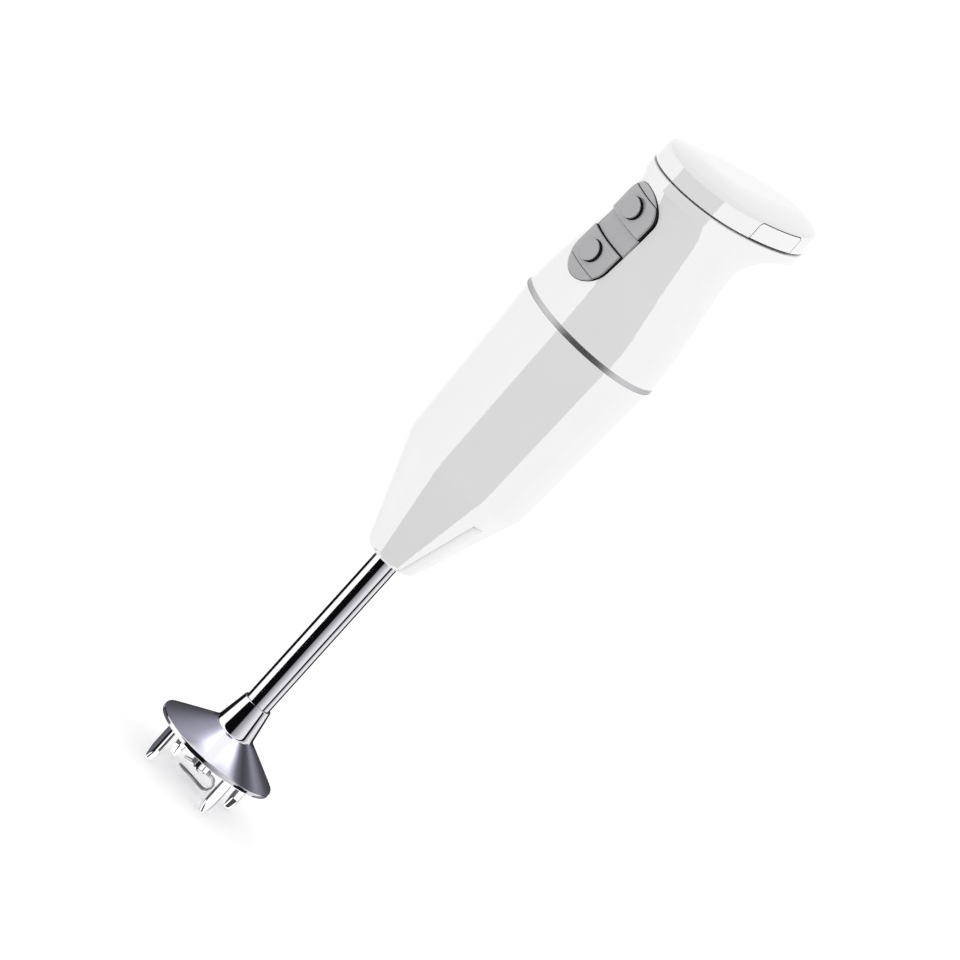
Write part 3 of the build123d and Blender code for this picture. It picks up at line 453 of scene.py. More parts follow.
def shade_walls(material, name):
    """Gives a material to the walls of a button, whose normals stand across its path along X."""
    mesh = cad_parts[name].data
    mesh.materials.append(material)
    normals = np.empty(3 * len(mesh.polygons), np.float32)
    mesh.polygons.foreach_get("normal", normals)
    walls = np.abs(normals[::3]) < WALL_LEAN
    mesh.polygons.foreach_set("material_index", walls.astype(np.int32))
    mesh.update()


def mesh_object(name, verts, faces):
    """New object of the given vertices and faces, linked to the scene."""
    mesh = bpy.data.meshes.new(name)
    mesh.from_pydata(verts.tolist(), [], faces)
    piece = bpy.data.objects.new(name, mesh)
    bpy.context.scene.collection.objects.link(piece)
    return piece, mesh


def rounded_profile(corners, radii, steps=9):
    """Closed outline through corners, each rounded by an arc.

    An arc's centre lies on the bisector at radius / sin(half the corner's angle), and its points
    turn from the edge before to the edge after. Two more points hold each straight run straight.
    """
    corners = np.array(corners, float)
    radii = np.array(radii, float)[:, None]
    before = np.roll(corners, 1, axis=0) - corners
    after = np.roll(corners, -1, axis=0) - corners
    before /= np.linalg.norm(before, axis=1, keepdims=True)
    after /= np.linalg.norm(after, axis=1, keepdims=True)
    half = np.arccos(np.clip((before * after).sum(axis=1, keepdims=True), -1, 1)) / 2
    bisector = before + after
    bisector /= np.linalg.norm(bisector, axis=1, keepdims=True)
    centre = corners + bisector * radii / np.sin(half)
    start = corners + before * radii / np.tan(half)
    end = corners + after * radii / np.tan(half)
    total = (pi - 2 * half)[:, :, None]
    share = np.linspace(0, 1, steps)[None, :, None]
    arcs = centre[:, None] + (
        np.sin((1 - share) * total) * (start - centre)[:, None]
        + np.sin(share * total) * (end - centre)[:, None]
    ) / np.sin(total)
    run = np.roll(start, -1, axis=0) - end
    holds = end[:, None] + run[:, None] * np.array([0.03, 0.97])[None, :, None]
    return np.concatenate([arcs, holds], axis=1).reshape(-1, 2)


def closed_shell(points, ring=False):
    """Triangles of a grid whose columns close on themselves.

    The first and last rows close in a fan to their middle, or on each other in a ring. The faces
    are turned outwards: the volume under them is the sum of a . (b x c) / 6. Returns the vertices,
    the triangles and the row of the grid that each triangle starts from.
    """
    rows, columns = points.shape[:2]
    verts = points.reshape(-1, 3)
    index = np.arange(rows * columns).reshape(rows, columns)
    side = np.roll(index, -1, axis=1)
    upper, upper_side = np.roll(index, -1, axis=0), np.roll(side, -1, axis=0)
    last = rows if ring else rows - 1
    grid = [part[:last].ravel() for part in (index, side, upper_side, upper)]
    faces = [np.stack(grid[:3], axis=1), np.stack([grid[0], *grid[2:]], axis=1)]
    row = [np.repeat(np.arange(last), columns)] * 2
    if not ring:
        middles = points[[0, -1]].mean(axis=1)
        verts = np.vstack([verts, middles])
        foot = np.full(columns, rows * columns)
        faces.append(np.stack([foot, side[0], index[0]], axis=1))
        faces.append(np.stack([foot + 1, index[-1], side[-1]], axis=1))
        row += [np.zeros(columns, int), np.full(columns, rows - 1)]
    faces = np.vstack(faces)
    a, b, c = (verts[faces[:, corner]] for corner in range(3))
    if (a * np.cross(b, c)).sum() < 0:
        faces = faces[:, ::-1]
    return verts, faces, np.concatenate(row)


def add_piece(name, body, nodes, materials, shells, sharp=radians(40)):
    """One mesh of closed shells, each with its vertices, triangles and material numbers."""
    counts = np.cumsum([0] + [len(verts) for verts, _, _ in shells])
    verts = np.vstack([shell[0] for shell in shells])
    faces = np.vstack([shell[1] + start for shell, start in zip(shells, counts)])
    finish = np.concatenate([shell[2] for shell in shells])
    piece, mesh = mesh_object(name, verts, faces.tolist())
    for material in materials:
        mesh.materials.append(material)
    mesh.polygons.foreach_set("material_index", finish.astype(np.int32))
    mesh.polygons.foreach_set("use_smooth", np.ones(len(faces), bool))
    mesh.set_sharp_from_angle(angle=sharp)
    mesh.update()
    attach(piece, body)
    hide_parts(*nodes)
    return piece


class IMMERSION_OT_shells(bpy.types.Operator):
    """Finish the white shells, the battery cap and its release buttons"""

    bl_idname = "immersion.shells"
    bl_label = "Finish Shells"

    def execute(self, context):
        finish = context.scene.immersion_finish
        rough = finish.shell_roughness
        white = plastic(
            "white_gloss_shell",
            tuple(finish.shell_colour),
            low=rough * 0.8,
            high=rough * 1.2,
            grain=900.0,
            depth=0.0000012,
            spread=0.006,
            gloss=0.8,
            coat=0.25,
            crease=0.006,
        )
        dress(white, "lower_housing", "upper_housing", "battery_cap")
        black = (0.02, 0.02, 0.02)
        # Near-black finish for the buttons' walls: painted shadow in the gaps round the release
        # buttons.
        shadow = plastic("release_gap_shadow", black, 0.5, 0.6, 900.0, 0.000002, gloss=0.1)
        for node in ("release_button_left", "release_button_right"):
            dress(white, node)
            shade_walls(shadow, node)
        grey = tuple(finish.ring_colour)
        ring = metal("seam_ring_satin", grey, 0.35, 0.45, 900.0, 0.000002, rings=True)
        dress(ring, "seam_ring")
        return {"FINISHED"}


def grip_front(z):
    """Distance of the grip's front from the shaft axis: an eased taper to the waist, then a flare.

    With p the share of the way up from the ring, the taper is 3 p^2 - 2 p^3; the flare is the cube
    of the share of the way from its start to the lip.
    """
    ring, waist, lip = 0.0373, 0.0332, 0.0382
    ring_z, taper_run, flare_z, flare_run = 0.28076, 0.068, 0.33706, 0.0208
    rise = np.clip((z - ring_z) / taper_run, 0, 1)
    flare = np.clip((z - flare_z) / flare_run, 0, 1)
    return ring + (waist - ring) * rise**2 * (3 - 2 * rise) + (lip - waist) * flare**3


def slot_reach(turn, inset, low, high, middle, half):
    """Distance from a middle to the outline of a stretch of the keypad's slot, in each direction.

    The stretch lies between two heights, drawn in by inset, and half holds the slot's half width
    and the heights of the centres of its round ends. The nearest of the side, the top or foot and
    the round ends counts: a round end is the root of |p + t d| = width.
    """
    width, *ends = half
    across, along, least = np.cos(turn), np.sin(turn), 1e-6
    reach = (width - inset) / np.maximum(np.abs(across), least)
    reach = np.minimum(reach, (high - inset - middle) / np.maximum(along, least))
    reach = np.minimum(reach, (middle - low - inset) / np.maximum(-along, least))
    for end, way in zip(ends, (-1, 1)):
        offset = middle - end
        inside = (offset * along) ** 2 - offset**2 + (width - inset) ** 2
        root = -offset * along + np.sqrt(np.maximum(inside, 0))
        reach = np.where((offset + root * along) * way > 0, np.minimum(reach, root), reach)
    return reach


def keypad_block(shape, low, high, back, proud, half, knob=False):
    """Block of the keypad: rings round its middle, from the back over the rounded edge to the face.

    A ring's point lies at x = r cos t, z = middle + r sin t, and the face at
    y = -sqrt((front(z) + proud)^2 - x^2). The edge turns through a quarter circle. A knob rises
    straight from a narrow groove to its own rounded rim. Returns the rings and a mark for each row
    that belongs to a side wall, which reaches a little way into the rounding; the marked walls take
    a near-black finish, which is painted shade.
    """
    middle = (low + high) / 2
    turn = np.linspace(0, 2 * pi, 361)[:-1]
    edge, rim, groove, pole = shape.pad_edge, 0.0004, 0.0003, 0.0005
    rounding, wall_end = np.linspace(0, pi / 2, 7), 0.2

    def outline(inset):
        return slot_reach(turn, inset, low, high, middle, half)

    def face(reach, over):
        round_r = grip_front(middle + reach * np.sin(turn)) + over
        return -np.sqrt(round_r**2 - (reach * np.cos(turn)) ** 2)

    reaches = [outline(edge), outline(0)]
    depths = [np.full_like(turn, back), np.full_like(turn, back - edge / 2)]
    walls = [True, True]
    for bend in rounding:
        reaches.append(outline(edge * (1 - cos(bend))))
        depths.append(face(reaches[-1], proud) + edge * (1 - sin(bend)))
        walls.append(bend < wall_end)
    inner = shape.knob_radius + groove if knob else pole
    for share in np.linspace(0, 1, 11)[1:]:
        reaches.append(outline(edge) * (1 - share) + inner * share)
        depths.append(face(reaches[-1], proud))
        walls.append(False)
    if knob:
        walls[-1] = True
        for radius in (inner - groove / 4, shape.knob_radius):
            reaches.append(np.full_like(turn, radius))
            depths.append(face(reaches[-1], proud) + rim)
            walls.append(True)
        top = proud + shape.knob_proud
        for bend in rounding:
            reaches.append(np.full_like(turn, shape.knob_radius - rim * (1 - cos(bend))))
            depths.append(face(reaches[-1], top) + rim * (1 - sin(bend)))
            walls.append(bend < wall_end)
        for share in (0.75, 0.5, 0.25, 0.1):
            reaches.append(np.full_like(turn, shape.knob_radius * share))
            depths.append(face(reaches[-1], top))
            walls.append(False)
    reach, depth = np.array(reaches), np.array(depths)
    points = np.stack([reach * np.cos(turn), depth, middle + reach * np.sin(turn)], axis=2)
    return points, np.array(walls)


class IMMERSION_OT_keypad(bpy.types.Operator):
    """Shape the keypad's frame and its two speed buttons"""

    bl_idname = "immersion.keypad"
    bl_label = "Shape Keypad"

    def execute(self, context):
        finish = context.scene.immersion_finish
        shape = context.scene.immersion_shape
        colour = tuple(finish.keypad_colour)
        black = (0.008, 0.008, 0.009)
        touch = plastic("keypad_touch", colour, 0.1, 0.14, 2600.0, 0.000001, spread=0.02, gloss=0.8)
        # Near-black finish for the side walls: painted shade round the buttons, their knobs and the
        # step.
        shade = plastic("keypad_painted_shade", black, 0.5, 0.6, 2600.0, 0.000004, spread=0.05, gloss=0.1)
        low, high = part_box("keypad_frame")
        half = (high[0], low[2] + high[0], high[2] - high[0])
        pads = [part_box(node) for node in ("low_speed_button", "high_speed_button")]
        gap = high[0] - pads[0][1][0]
        proud = shape.pad_proud
        blocks = (
            (low[2], pads[0][0][2] - gap, proud / 2),
            (pads[0][1][2] + gap, pads[1][0][2] - gap, -shape.step_sink),
            (pads[1][1][2] + gap, high[2], proud / 2),
        )
        shells = []
        back = pads[0][1][1]
        for foot, head, level in blocks:
            points, walls = keypad_block(shape, foot, head, back, level, half)
            verts, faces, row = closed_shell(points)
            shells.append((verts, faces, walls[row]))
        add_piece("keypad_face", "handle", ("keypad_frame",), (touch, shade), shells)
        half = (half[0] - gap, *half[1:])
        buttons = (("low_button", "low_speed"), ("high_button", "high_speed"))
        for (name, body), (foot, head) in zip(buttons, pads):
            points, walls = keypad_block(shape, foot[2], head[2], head[1], proud, half, knob=True)
            verts, faces, row = closed_shell(points)
            shell = (verts, faces, walls[row])
            add_piece(name, body, (body + "_button",), (touch, shade), [shell])
        return {"FINISHED"}


def bell_surface(shape, rim, foot, neck_z):
    """Guard's bell: a rounded outline in (radius, height) turned round the shaft axis.

    The outside falls from the neck to the rim at the bell's slope, stands upright along the rim,
    and the inside follows it one wall deeper. Returns the ring grid and a mark for each row on the
    outside above the polished rim.
    """
    slope = np.tan(shape.bell_slope)
    neck, hole, roof, polished_top = 0.0118, 0.0076, 0.0025, 0.0215
    skin = shape.bell_wall / cos(shape.bell_slope)
    inner = rim - shape.bell_wall
    shoulder = neck_z - (rim - neck) * slope
    outside = ((inner, foot), (rim, foot), (rim, shoulder), (neck, neck_z))
    inside = (
        (hole, neck_z),
        (hole, neck_z - roof),
        (neck + (roof - skin) / slope, neck_z - roof),
        (inner, neck_z - (inner - neck) * slope - skin),
    )
    rounds = (0.0004, 0.0003, 0.0006, 0.0001, 0.0001, 0.0001, 0.0005, 0.0005)
    outline = rounded_profile([*outside, *inside], rounds)
    turn = np.linspace(0, 2 * pi, 289)[:-1]
    radius, height = outline[:, :1], outline[:, 1:]
    points = np.stack([radius * np.cos(turn), radius * np.sin(turn), height + 0 * turn], axis=2)
    outer_rows = len(outline) * len(outside) // len(rounds)
    brushed = (outline[:, 1] > polished_top) & (np.arange(len(outline)) < outer_rows)
    return points, brushed


def leg_surface(shape, turn, top):
    """Guard's leg: a rounded section carried up from a leaf-shaped tip.

    The half width follows a quarter sine over the tip, the foot is rounded off by a quarter circle,
    and the section is |x / a|^n + |y / b|^n = 1 with a crowned outer face and sides that draw in
    towards the shaft.
    """
    tip, foot, sole, power = 0.0075, 0.0006, 0.0001, 5.0
    tip_width, tip_depth, draw_in = 0.4, 0.75, 0.4
    crown_rise, set_back, crowding = 0.0008, 0.0005, 1.6
    height = top * np.linspace(0, 1, 41)[:, None] ** crowding
    round_off = np.sqrt(1 - (1 - np.clip((height + sole) / foot, 0, 1)) ** 2)
    leaf = np.sin(np.clip(height / tip, 0, 1) * pi / 2)
    half = shape.leg_width / 2 * (tip_width + (1 - tip_width) * leaf) * round_off
    deep = shape.leg_depth / 2 * (tip_depth + (1 - tip_depth) * leaf) * round_off
    angle = np.linspace(0, 2 * pi, 65)[:-1]
    flat = np.sign(np.cos(angle)) * np.abs(np.cos(angle)) ** (2 / power)
    out = np.sign(np.sin(angle)) * np.abs(np.sin(angle)) ** (2 / power)
    crown = crown_rise * (1 - flat**2) * np.clip(out, 0, 1)
    along = half * flat * (1 - draw_in * (1 - out) / 2)
    radius = shape.leg_circle + deep * out + crown * round_off - set_back
    return np.stack(
        [
            radius * cos(turn) - along * sin(turn),
            radius * sin(turn) + along * cos(turn),
            height + 0 * angle,
        ],
        axis=2,
    )


def blade_surface(shape, top_z, low_z, reach, wing, tail, tail_rise, wing_drop):
    """Cutting blade: a ground strip carried along wing, arm, half circle and tail.

    The strip's section is flat in the middle and thins to an edge on both long sides, and its width
    draws in towards both ends by a quarter sine. The path's normal carries the thickness and the
    width stands across.
    """
    end_width, end_run, flat_share, edge_share = 0.35, 0.0045, 0.62, 0.25
    half_z = (top_z - low_z) / 2
    bend = reach - half_z
    corner = -wing / 2
    around = np.linspace(pi / 2, -pi / 2, 33)[:, None]
    half_circle = np.hstack([bend + half_z * np.cos(around), low_z + half_z * (1 + np.sin(around))])
    path = np.vstack(
        [
            np.linspace((-wing, top_z - wing_drop), (corner, top_z), 9)[:-1],
            np.linspace((corner, top_z), (bend, top_z), 17)[:-1],
            half_circle,
            np.linspace((bend, low_z), (-tail, low_z + tail_rise), 25)[1:],
        ]
    )
    run = np.gradient(path, axis=0)
    run /= np.linalg.norm(run, axis=1, keepdims=True)
    normal = np.stack([-run[:, 1], run[:, 0]], axis=1)
    place = np.concatenate([[0], np.cumsum(np.linalg.norm(np.diff(path, axis=0), axis=1))])
    ends = np.minimum(place, place[-1] - place)
    taper = end_width + (1 - end_width) * np.sin(np.clip(ends / end_run, 0, 1) * pi / 2)
    half_wide = np.array([-1, -flat_share, flat_share, 1])
    half_thick = np.array([edge_share, 1, 1, edge_share])
    wide = shape.blade_width / 2 * np.concatenate([half_wide, half_wide[::-1]])
    thick = shape.blade_thickness / 2 * np.concatenate([half_thick, -half_thick])
    across = np.array([sin(shape.blade_turn), -cos(shape.blade_turn), 0.0])
    along = np.array([cos(shape.blade_turn), sin(shape.blade_turn), 0.0])
    flat = path[:, None] + normal[:, None] * thick[None, :, None]
    width = (taper[:, None] * wide[None, :])[:, :, None]
    return flat[:, :, :1] * along + flat[:, :, 1:] * np.array([0, 0, 1.0]) + width * across


class IMMERSION_OT_steel(bpy.types.Operator):
    """Shape the guard and the blade and finish the steel"""

    bl_idname = "immersion.steel"
    bl_label = "Shape Steel"

    def execute(self, context):
        finish = context.scene.immersion_finish
        shape = context.scene.immersion_shape
        colour = tuple(finish.steel_colour)
        edge = (0.4, 0.4, 0.46)
        polished = metal("polished_steel", colour, 0.02, 0.04, 500.0, 0.0000004, edge=edge)
        dress(polished, "shaft_tube", "guard_collar", "blade_hub", "blade_rivet")
        grey = (0.72, 0.72, 0.75)
        satin = metal("satin_turned_steel", grey, 0.1, 0.14, 1600.0, 0.000001, rings=True)
        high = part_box("blade_guard")[1]
        rim_foot, leg_top = 0.0196, 0.0241
        points, brushed = bell_surface(shape, high[0], rim_foot, high[2])
        verts, faces, row = closed_shell(points, ring=True)
        shells = [(verts, faces, brushed[row])]
        for quarter in range(4):
            leg = leg_surface(shape, shape.leg_turn + quarter * pi / 2, leg_top)
            verts, faces, _ = closed_shell(leg)
            shells.append((verts, faces, np.zeros(len(faces), int)))
        finishes = (polished, satin)
        add_piece("guard_bell", "handle", ("blade_guard",), finishes, shells)
        ground = metal("ground_steel", (0.42, 0.42, 0.45), 0.25, 0.35, 900.0, 0.000002)
        blade = blade_surface(
            shape,
            top_z=0.0094,
            low_z=0.0026,
            reach=0.0097,
            wing=0.0086,
            tail=0.0083,
            tail_rise=0.0016,
            wing_drop=0.0012,
        )
        verts, faces, _ = closed_shell(blade)
        add_piece(
            "cutting_strip",
            "blade",
            ("cutting_blade",),
            (ground,),
            [(verts, faces, np.zeros(len(faces), int))],
            sharp=radians(20),
        )
        return {"FINISHED"}


class IMMERSION_OT_inside(bpy.types.Operator):
    """Finish the motor, battery, boards and other pieces held inside"""

    bl_idname = "immersion.inside"
    bl_label = "Finish Inside"

    def execute(self, context):
        dark = (0.03, 0.03, 0.034)
        moulded = plastic("black_moulding", dark, 0.4, 0.55, 1800.0, 0.00002, spread=0.1)
        dress(
            moulded,
            "motor_end_cap",
            "drive_coupling",
            "cooling_fan",
            "contact_block",
            "board_ribbon",
            "speed_switches",
            "battery_case",
        )
        black = (0.02, 0.02, 0.02)
        rubber = plastic("seal_rubber", black, 0.6, 0.8, 2400.0, 0.00003, spread=0.15)
        dress(rubber, "shaft_seal", "nose_seal", "keypad_gasket", "motor_leads")
        soot = (0.015, 0.015, 0.016)
        carbon = plastic("carbon_block", soot, 0.5, 0.7, 3000.0, 0.00002, spread=0.2)
        dress(carbon, "carbon_brushes")
        green = (0.02, 0.12, 0.06)
        board = plastic("board_lacquer", green, 0.25, 0.4, 1400.0, 0.00001, spread=0.2)
        dress(board, "control_board", "battery_board")
        blue = (0.06, 0.16, 0.36)
        sleeve = plastic("cell_sleeve", blue, 0.25, 0.35, 700.0, 0.000005, spread=0.05)
        dress(sleeve, "battery_cells")
        bare = metal("bare_steel", (0.56, 0.56, 0.58), 0.25, 0.4, 700.0, 0.000004)
        dress(
            bare,
            "drive_shaft",
            "motor_shaft",
            "tube_clamp",
            "motor_mount",
            "motor_can",
            "mount_screws",
            "motor_screws",
            "housing_screws",
            "board_screws",
            "cell_links",
        )
        bronze = metal("sintered_bronze", (0.56, 0.36, 0.16), 0.35, 0.5, 2500.0, 0.00001)
        dress(bronze, "lower_bearing", "upper_bearing", "front_motor_bearing", "rear_motor_bearing")
        copper = metal("copper", (0.72, 0.34, 0.18), 0.25, 0.4, 1500.0, 0.00001)
        dress(copper, "armature_windings", "commutator", "bay_contacts", "pack_terminals")
        iron = metal("laminated_iron", (0.22, 0.22, 0.23), 0.45, 0.6, 2200.0, 0.00002)
        dress(iron, "armature_core", "motor_magnets")
        return {"FINISHED"}


def toward_camera(stage):
    """Unit vectors to the right of the picture and towards the camera, both level."""
    right = Vector((cos(stage.azimuth), sin(stage.azimuth), 0.0))
    near = Vector((sin(stage.azimuth), -cos(stage.azimuth), 0.0))
    return right, near


def add_camera(stage):
    """Long-lens camera, rolled so that the upright blender leans clockwise in the picture."""
    right, near = toward_camera(stage)
    back = near * cos(stage.elevation) + Vector((0, 0, sin(stage.elevation)))
    up = back.cross(right)
    roll_right = right * cos(stage.lean) + up * sin(stage.lean)
    roll_up = up * cos(stage.lean) - right * sin(stage.lean)
    aim = Vector((0, 0, stage.aim_height)) + right * stage.aim_side
    data = bpy.data.cameras.new("studio_camera")
    data.sensor_width = 36.0
    data.lens = data.sensor_width * stage.distance / stage.field
    data.clip_end = 2 * stage.distance
    camera = bpy.data.objects.new("studio_camera", data)
    turn = Matrix((roll_right, roll_up, back)).transposed()
    camera.matrix_world = Matrix.Translation(aim + back * stage.distance) @ turn.to_4x4()
    bpy.context.scene.collection.objects.link(camera)
    bpy.context.scene.camera = camera


def stops(nodes, links, factor, low, high, levels):
    """Grey ramp through (place, level) pairs, with places between low and high."""
    ramp = nodes.new("ShaderNodeValToRGB")
    elements = ramp.color_ramp.elements
    while len(elements) < len(levels):
        elements.new(0.5)
    for element, (place, level) in zip(elements, levels):
        element.position = (place - low) / (high - low)
        element.color = (level, level, level, 1.0)
    span = nodes.new("ShaderNodeMapRange")
    span.inputs["From Min"].default_value = low
    span.inputs["From Max"].default_value = high
    links.new(factor, span.inputs["Value"])
    links.new(span.outputs["Result"], ramp.inputs["Fac"])
    return ramp.outputs["Color"]


# Softboxes mirrored below the horizon, across the dark gap that faces the camera: place in half
# widths of the gap, and share of the panel brightness.
GAP_SIDES = (-4.0, 4.0)
GAP_LEVELS = (
    (-4.0, 0.47),
    (-3.2, 0.47),
    (-2.2, 0.8),
    (-1.02, 1.0),
    (-1.0, 0.02),
    (1.0, 0.03),
    (1.02, 1.0),
    (2.2, 0.8),
    (3.2, 0.47),
    (4.0, 0.47),
)
# The gap's middle, in degrees to the right of the camera, and its half width, at and above the
# given rise; below it, how fast the middle moves and the half width grows with the drop.
GAP_RISE, GAP_MIDDLE, GAP_HALF = -20.0, 6.2, 45.0
GAP_SHIFT, GAP_WIDEN, GAP_WIDEN_MORE = 0.031, 0.0383, 0.00994
# Level of the even light that is mirrored higher up, and the rises over which it takes over.
EVEN_LEVEL, EVEN_RISES = 0.45, (6.0, 12.0)


def add_world(stage):
    """White to the camera, even light on matt surfaces, softboxes with a dark gap in mirrors."""
    right, near = toward_camera(stage)
    world = bpy.data.worlds.new("studio_world")
    bpy.context.scene.world = world
    world.use_nodes = True
    world.cycles.sampling_method = "NONE"
    nodes, links = world.node_tree.nodes, world.node_tree.links
    nodes.clear()
    place = nodes.new("ShaderNodeTexCoord").outputs["Generated"]
    parts = []
    for axis in (right, near, Vector((0, 0, 1))):
        dot = nodes.new("ShaderNodeVectorMath")
        dot.operation = "DOT_PRODUCT"
        dot.inputs[1].default_value = axis
        links.new(place, dot.inputs[0])
        parts.append(dot.outputs["Value"])
    turn = number(nodes, links, "DEGREES", number(nodes, links, "ARCTAN2", parts[0], parts[1]))
    rise = number(nodes, links, "DEGREES", number(nodes, links, "ARCSINE", parts[2]))
    drop = number(nodes, links, "MAXIMUM", number(nodes, links, "SUBTRACT", GAP_RISE, rise), 0.0)
    middle = number(nodes, links, "MULTIPLY_ADD", drop, GAP_SHIFT, GAP_MIDDLE)
    widen = number(nodes, links, "MULTIPLY_ADD", drop, GAP_WIDEN_MORE, GAP_WIDEN)
    half = number(nodes, links, "MULTIPLY_ADD", widen, drop, GAP_HALF)
    offset = number(nodes, links, "SUBTRACT", turn, middle)
    place_in_gap = number(nodes, links, "DIVIDE", offset, half)
    gap = stops(nodes, links, place_in_gap, *GAP_SIDES, GAP_LEVELS)
    lift = nodes.new("ShaderNodeMapRange")
    lift.inputs["From Min"].default_value, lift.inputs["From Max"].default_value = EVEN_RISES
    links.new(rise, lift.inputs["Value"])
    panels = nodes.new("ShaderNodeMix")
    panels.data_type = "RGBA"
    factor, first, second = (panels.inputs[slot] for slot in (0, 6, 7))
    second.default_value = (EVEN_LEVEL, EVEN_LEVEL, EVEN_LEVEL, 1.0)
    links.new(lift.outputs["Result"], factor)
    links.new(gap, first)
    mirrored = nodes.new("ShaderNodeBackground")
    mirrored.inputs["Strength"].default_value = stage.panel
    links.new(panels.outputs[2], mirrored.inputs["Color"])
    even = nodes.new("ShaderNodeBackground")
    even.inputs["Color"].default_value = (1, 1, 1, 1)
    even.inputs["Strength"].default_value = stage.ambient
    white = nodes.new("ShaderNodeBackground")
    white.inputs["Color"].default_value = (1, 1, 1, 1)
    path = nodes.new("ShaderNodeLightPath")
    glossy, camera = path.outputs["Is Glossy Ray"], path.outputs["Is Camera Ray"]
    light = mix_shaders(nodes, links, glossy, even.outputs[0], mirrored.outputs[0])
    seen = mix_shaders(nodes, links, camera, light, white.outputs[0])
    output = nodes.new("ShaderNodeOutputWorld")
    links.new(seen, output.inputs["Surface"])


# Flags that the tube and the collar mirror: degrees round to the right from the camera, and the
# red, green and blue light there.
TUBE_FLAGS = (
    (-180, 0.06, 0.06, 0.065),
    (-146, 0.06, 0.06, 0.065),
    (-142, 0.01, 0.01, 0.012),
    (-109, 0.01, 0.01, 0.012),
    (-107, 1.2, 1.2, 1.2),
    (-58, 1.2, 1.2, 1.2),
    (-55, 0.004, 0.004, 0.005),
    (0, 0.004, 0.004, 0.005),
    (2, 0.27, 0.265, 0.29),
    (8, 0.34, 0.335, 0.36),
    (24, 0.52, 0.51, 0.55),
    (40, 0.77, 0.76, 0.8),
    (56, 0.93, 0.92, 0.96),
    (65.5, 0.95, 0.94, 0.98),
    (67.5, 0.004, 0.004, 0.005),
    (80, 0.004, 0.004, 0.005),
    (82, 0.5, 0.5, 0.52),
    (92, 0.68, 0.68, 0.7),
    (104, 0.95, 0.95, 0.97),
    (128, 1.05, 1.05, 1.05),
    (129, 0.02, 0.02, 0.025),
    (142, 0.02, 0.02, 0.025),
    (146, 0.06, 0.06, 0.065),
    (180, 0.06, 0.06, 0.065),
)
# Light that the bell mirrors: degrees round the bell to the right from the camera, and the level,
# which is a little blue.
BELL_TINT = (1.0, 1.0, 1.2)
BELL_LEVELS = (
    (-90, 0.09),
    (-80, 0.11),
    (-70, 0.16),
    (-60, 0.23),
    (-50, 0.32),
    (-40, 0.4),
    (-30, 0.48),
    (-20, 0.8),
    (-14, 1.7),
    (21, 1.7),
    (26, 0.7),
    (31, 0.18),
    (40, 0.065),
    (50, 0.13),
    (60, 0.34),
    (70, 0.25),
    (80, 0.11),
    (90, 0.08),
)
# Tent below the nose: its slope, its inner and outer radius, and where the bell mirrors it: two
# radii and the turns from the camera past which it does so within them, the rings up to there and
# the width of the seam beyond.
TENT_SLOPE = radians(16.0)
TENT_INNER, TENT_OUTER = 0.0095, 12.0
BELL_NEAR, BELL_NEAR_TURN = 0.15, 112.0
BELL_REACH, BELL_TURN = 0.34, 127.0
BELL_RINGS, BELL_SEAM = 60, 0.002
# Height on the bell, between neck and rim, that stands for all of it.
BELL_MIDDLE = 0.0265
# Flags that the legs and the rim mirror, set out as the tube's are: their radius and heights.
FLAG_RADIUS = 0.1
LEG_HEIGHTS = (-0.0012, -0.04)
RIM_HEIGHTS = (0.009, -0.0012)
LEG_FLAGS = (
    (-180, 0.02, 0.02, 0.025),
    (-150, 0.02, 0.02, 0.025),
    (-148, 1.1, 1.1, 1.1),
    (-138, 1.1, 1.1, 1.1),
    (-136, 0.12, 0.12, 0.145),
    (-70, 0.17, 0.17, 0.2),
    (-66, 0.01, 0.01, 0.012),
    (-16, 0.01, 0.01, 0.012),
    (-10, 0.9, 0.9, 0.9),
    (6, 1.2, 1.2, 1.2),
    (96, 1.2, 1.2, 1.2),
    (98, 0.01, 0.01, 0.012),
    (104, 0.01, 0.01, 0.012),
    (106, 0.35, 0.35, 0.38),
    (160, 0.35, 0.35, 0.38),
    (166, 0.03, 0.03, 0.035),
    (180, 0.02, 0.02, 0.025),
)
RIM_FLAGS = (
    (-180, 2.0, 2.0, 2.0),
    (-134, 2.0, 2.0, 2.0),
    (-131, 0.06, 0.06, 0.07),
    (-104, 0.075, 0.075, 0.085),
    (-84.5, 0.2, 0.2, 0.22),
    (-81.5, 1.2, 1.2, 1.2),
    (-42.5, 1.1, 1.1, 1.1),
    (-39.5, 0.012, 0.012, 0.014),
    (-2, 0.006, 0.006, 0.007),
    (1, 0.2, 0.195, 0.22),
    (20, 0.41, 0.4, 0.44),
    (34, 0.65, 0.64, 0.68),
    (53, 0.75, 0.74, 0.78),
    (56, 0.015, 0.015, 0.018),
    (81, 0.015, 0.015, 0.018),
    (84, 0.8, 0.8, 0.82),
    (104, 0.93, 0.93, 0.94),
    (125.5, 1.4, 1.4, 1.4),
    (128, 0.2, 0.2, 0.22),
    (140, 0.3, 0.3, 0.32),
    (143.5, 2.0, 2.0, 2.0),
    (180, 2.0, 2.0, 2.0),
)
# White card close round the collar and the tube, as (radius, height) rings: the bell mirrors it.
NECK_CARD = ((0.0124, 0.0325), (0.0086, 0.0505), (0.0072, 0.188))
NECK_LIGHT = ((-180, 1.3, 1.3, 1.3), (180, 1.3, 1.3, 1.3))


def tent_rings(mouth):
    """Rings of the tent as (radius, height, flags), falling from the nose's mouth at one slope.

    A ray that leaves the tube falls less steeply than the tent and meets it from below; one that
    leaves the nose falls more steeply and meets it from above, where the tent is clear.
    """
    inner = np.linspace(TENT_INNER, BELL_REACH, BELL_RINGS)
    slope = np.tan(TENT_SLOPE)
    return [
        (radius, mouth - (radius - TENT_INNER) * slope, TUBE_FLAGS)
        for radius in (*inner, BELL_REACH + BELL_SEAM, TENT_OUTER)
    ]


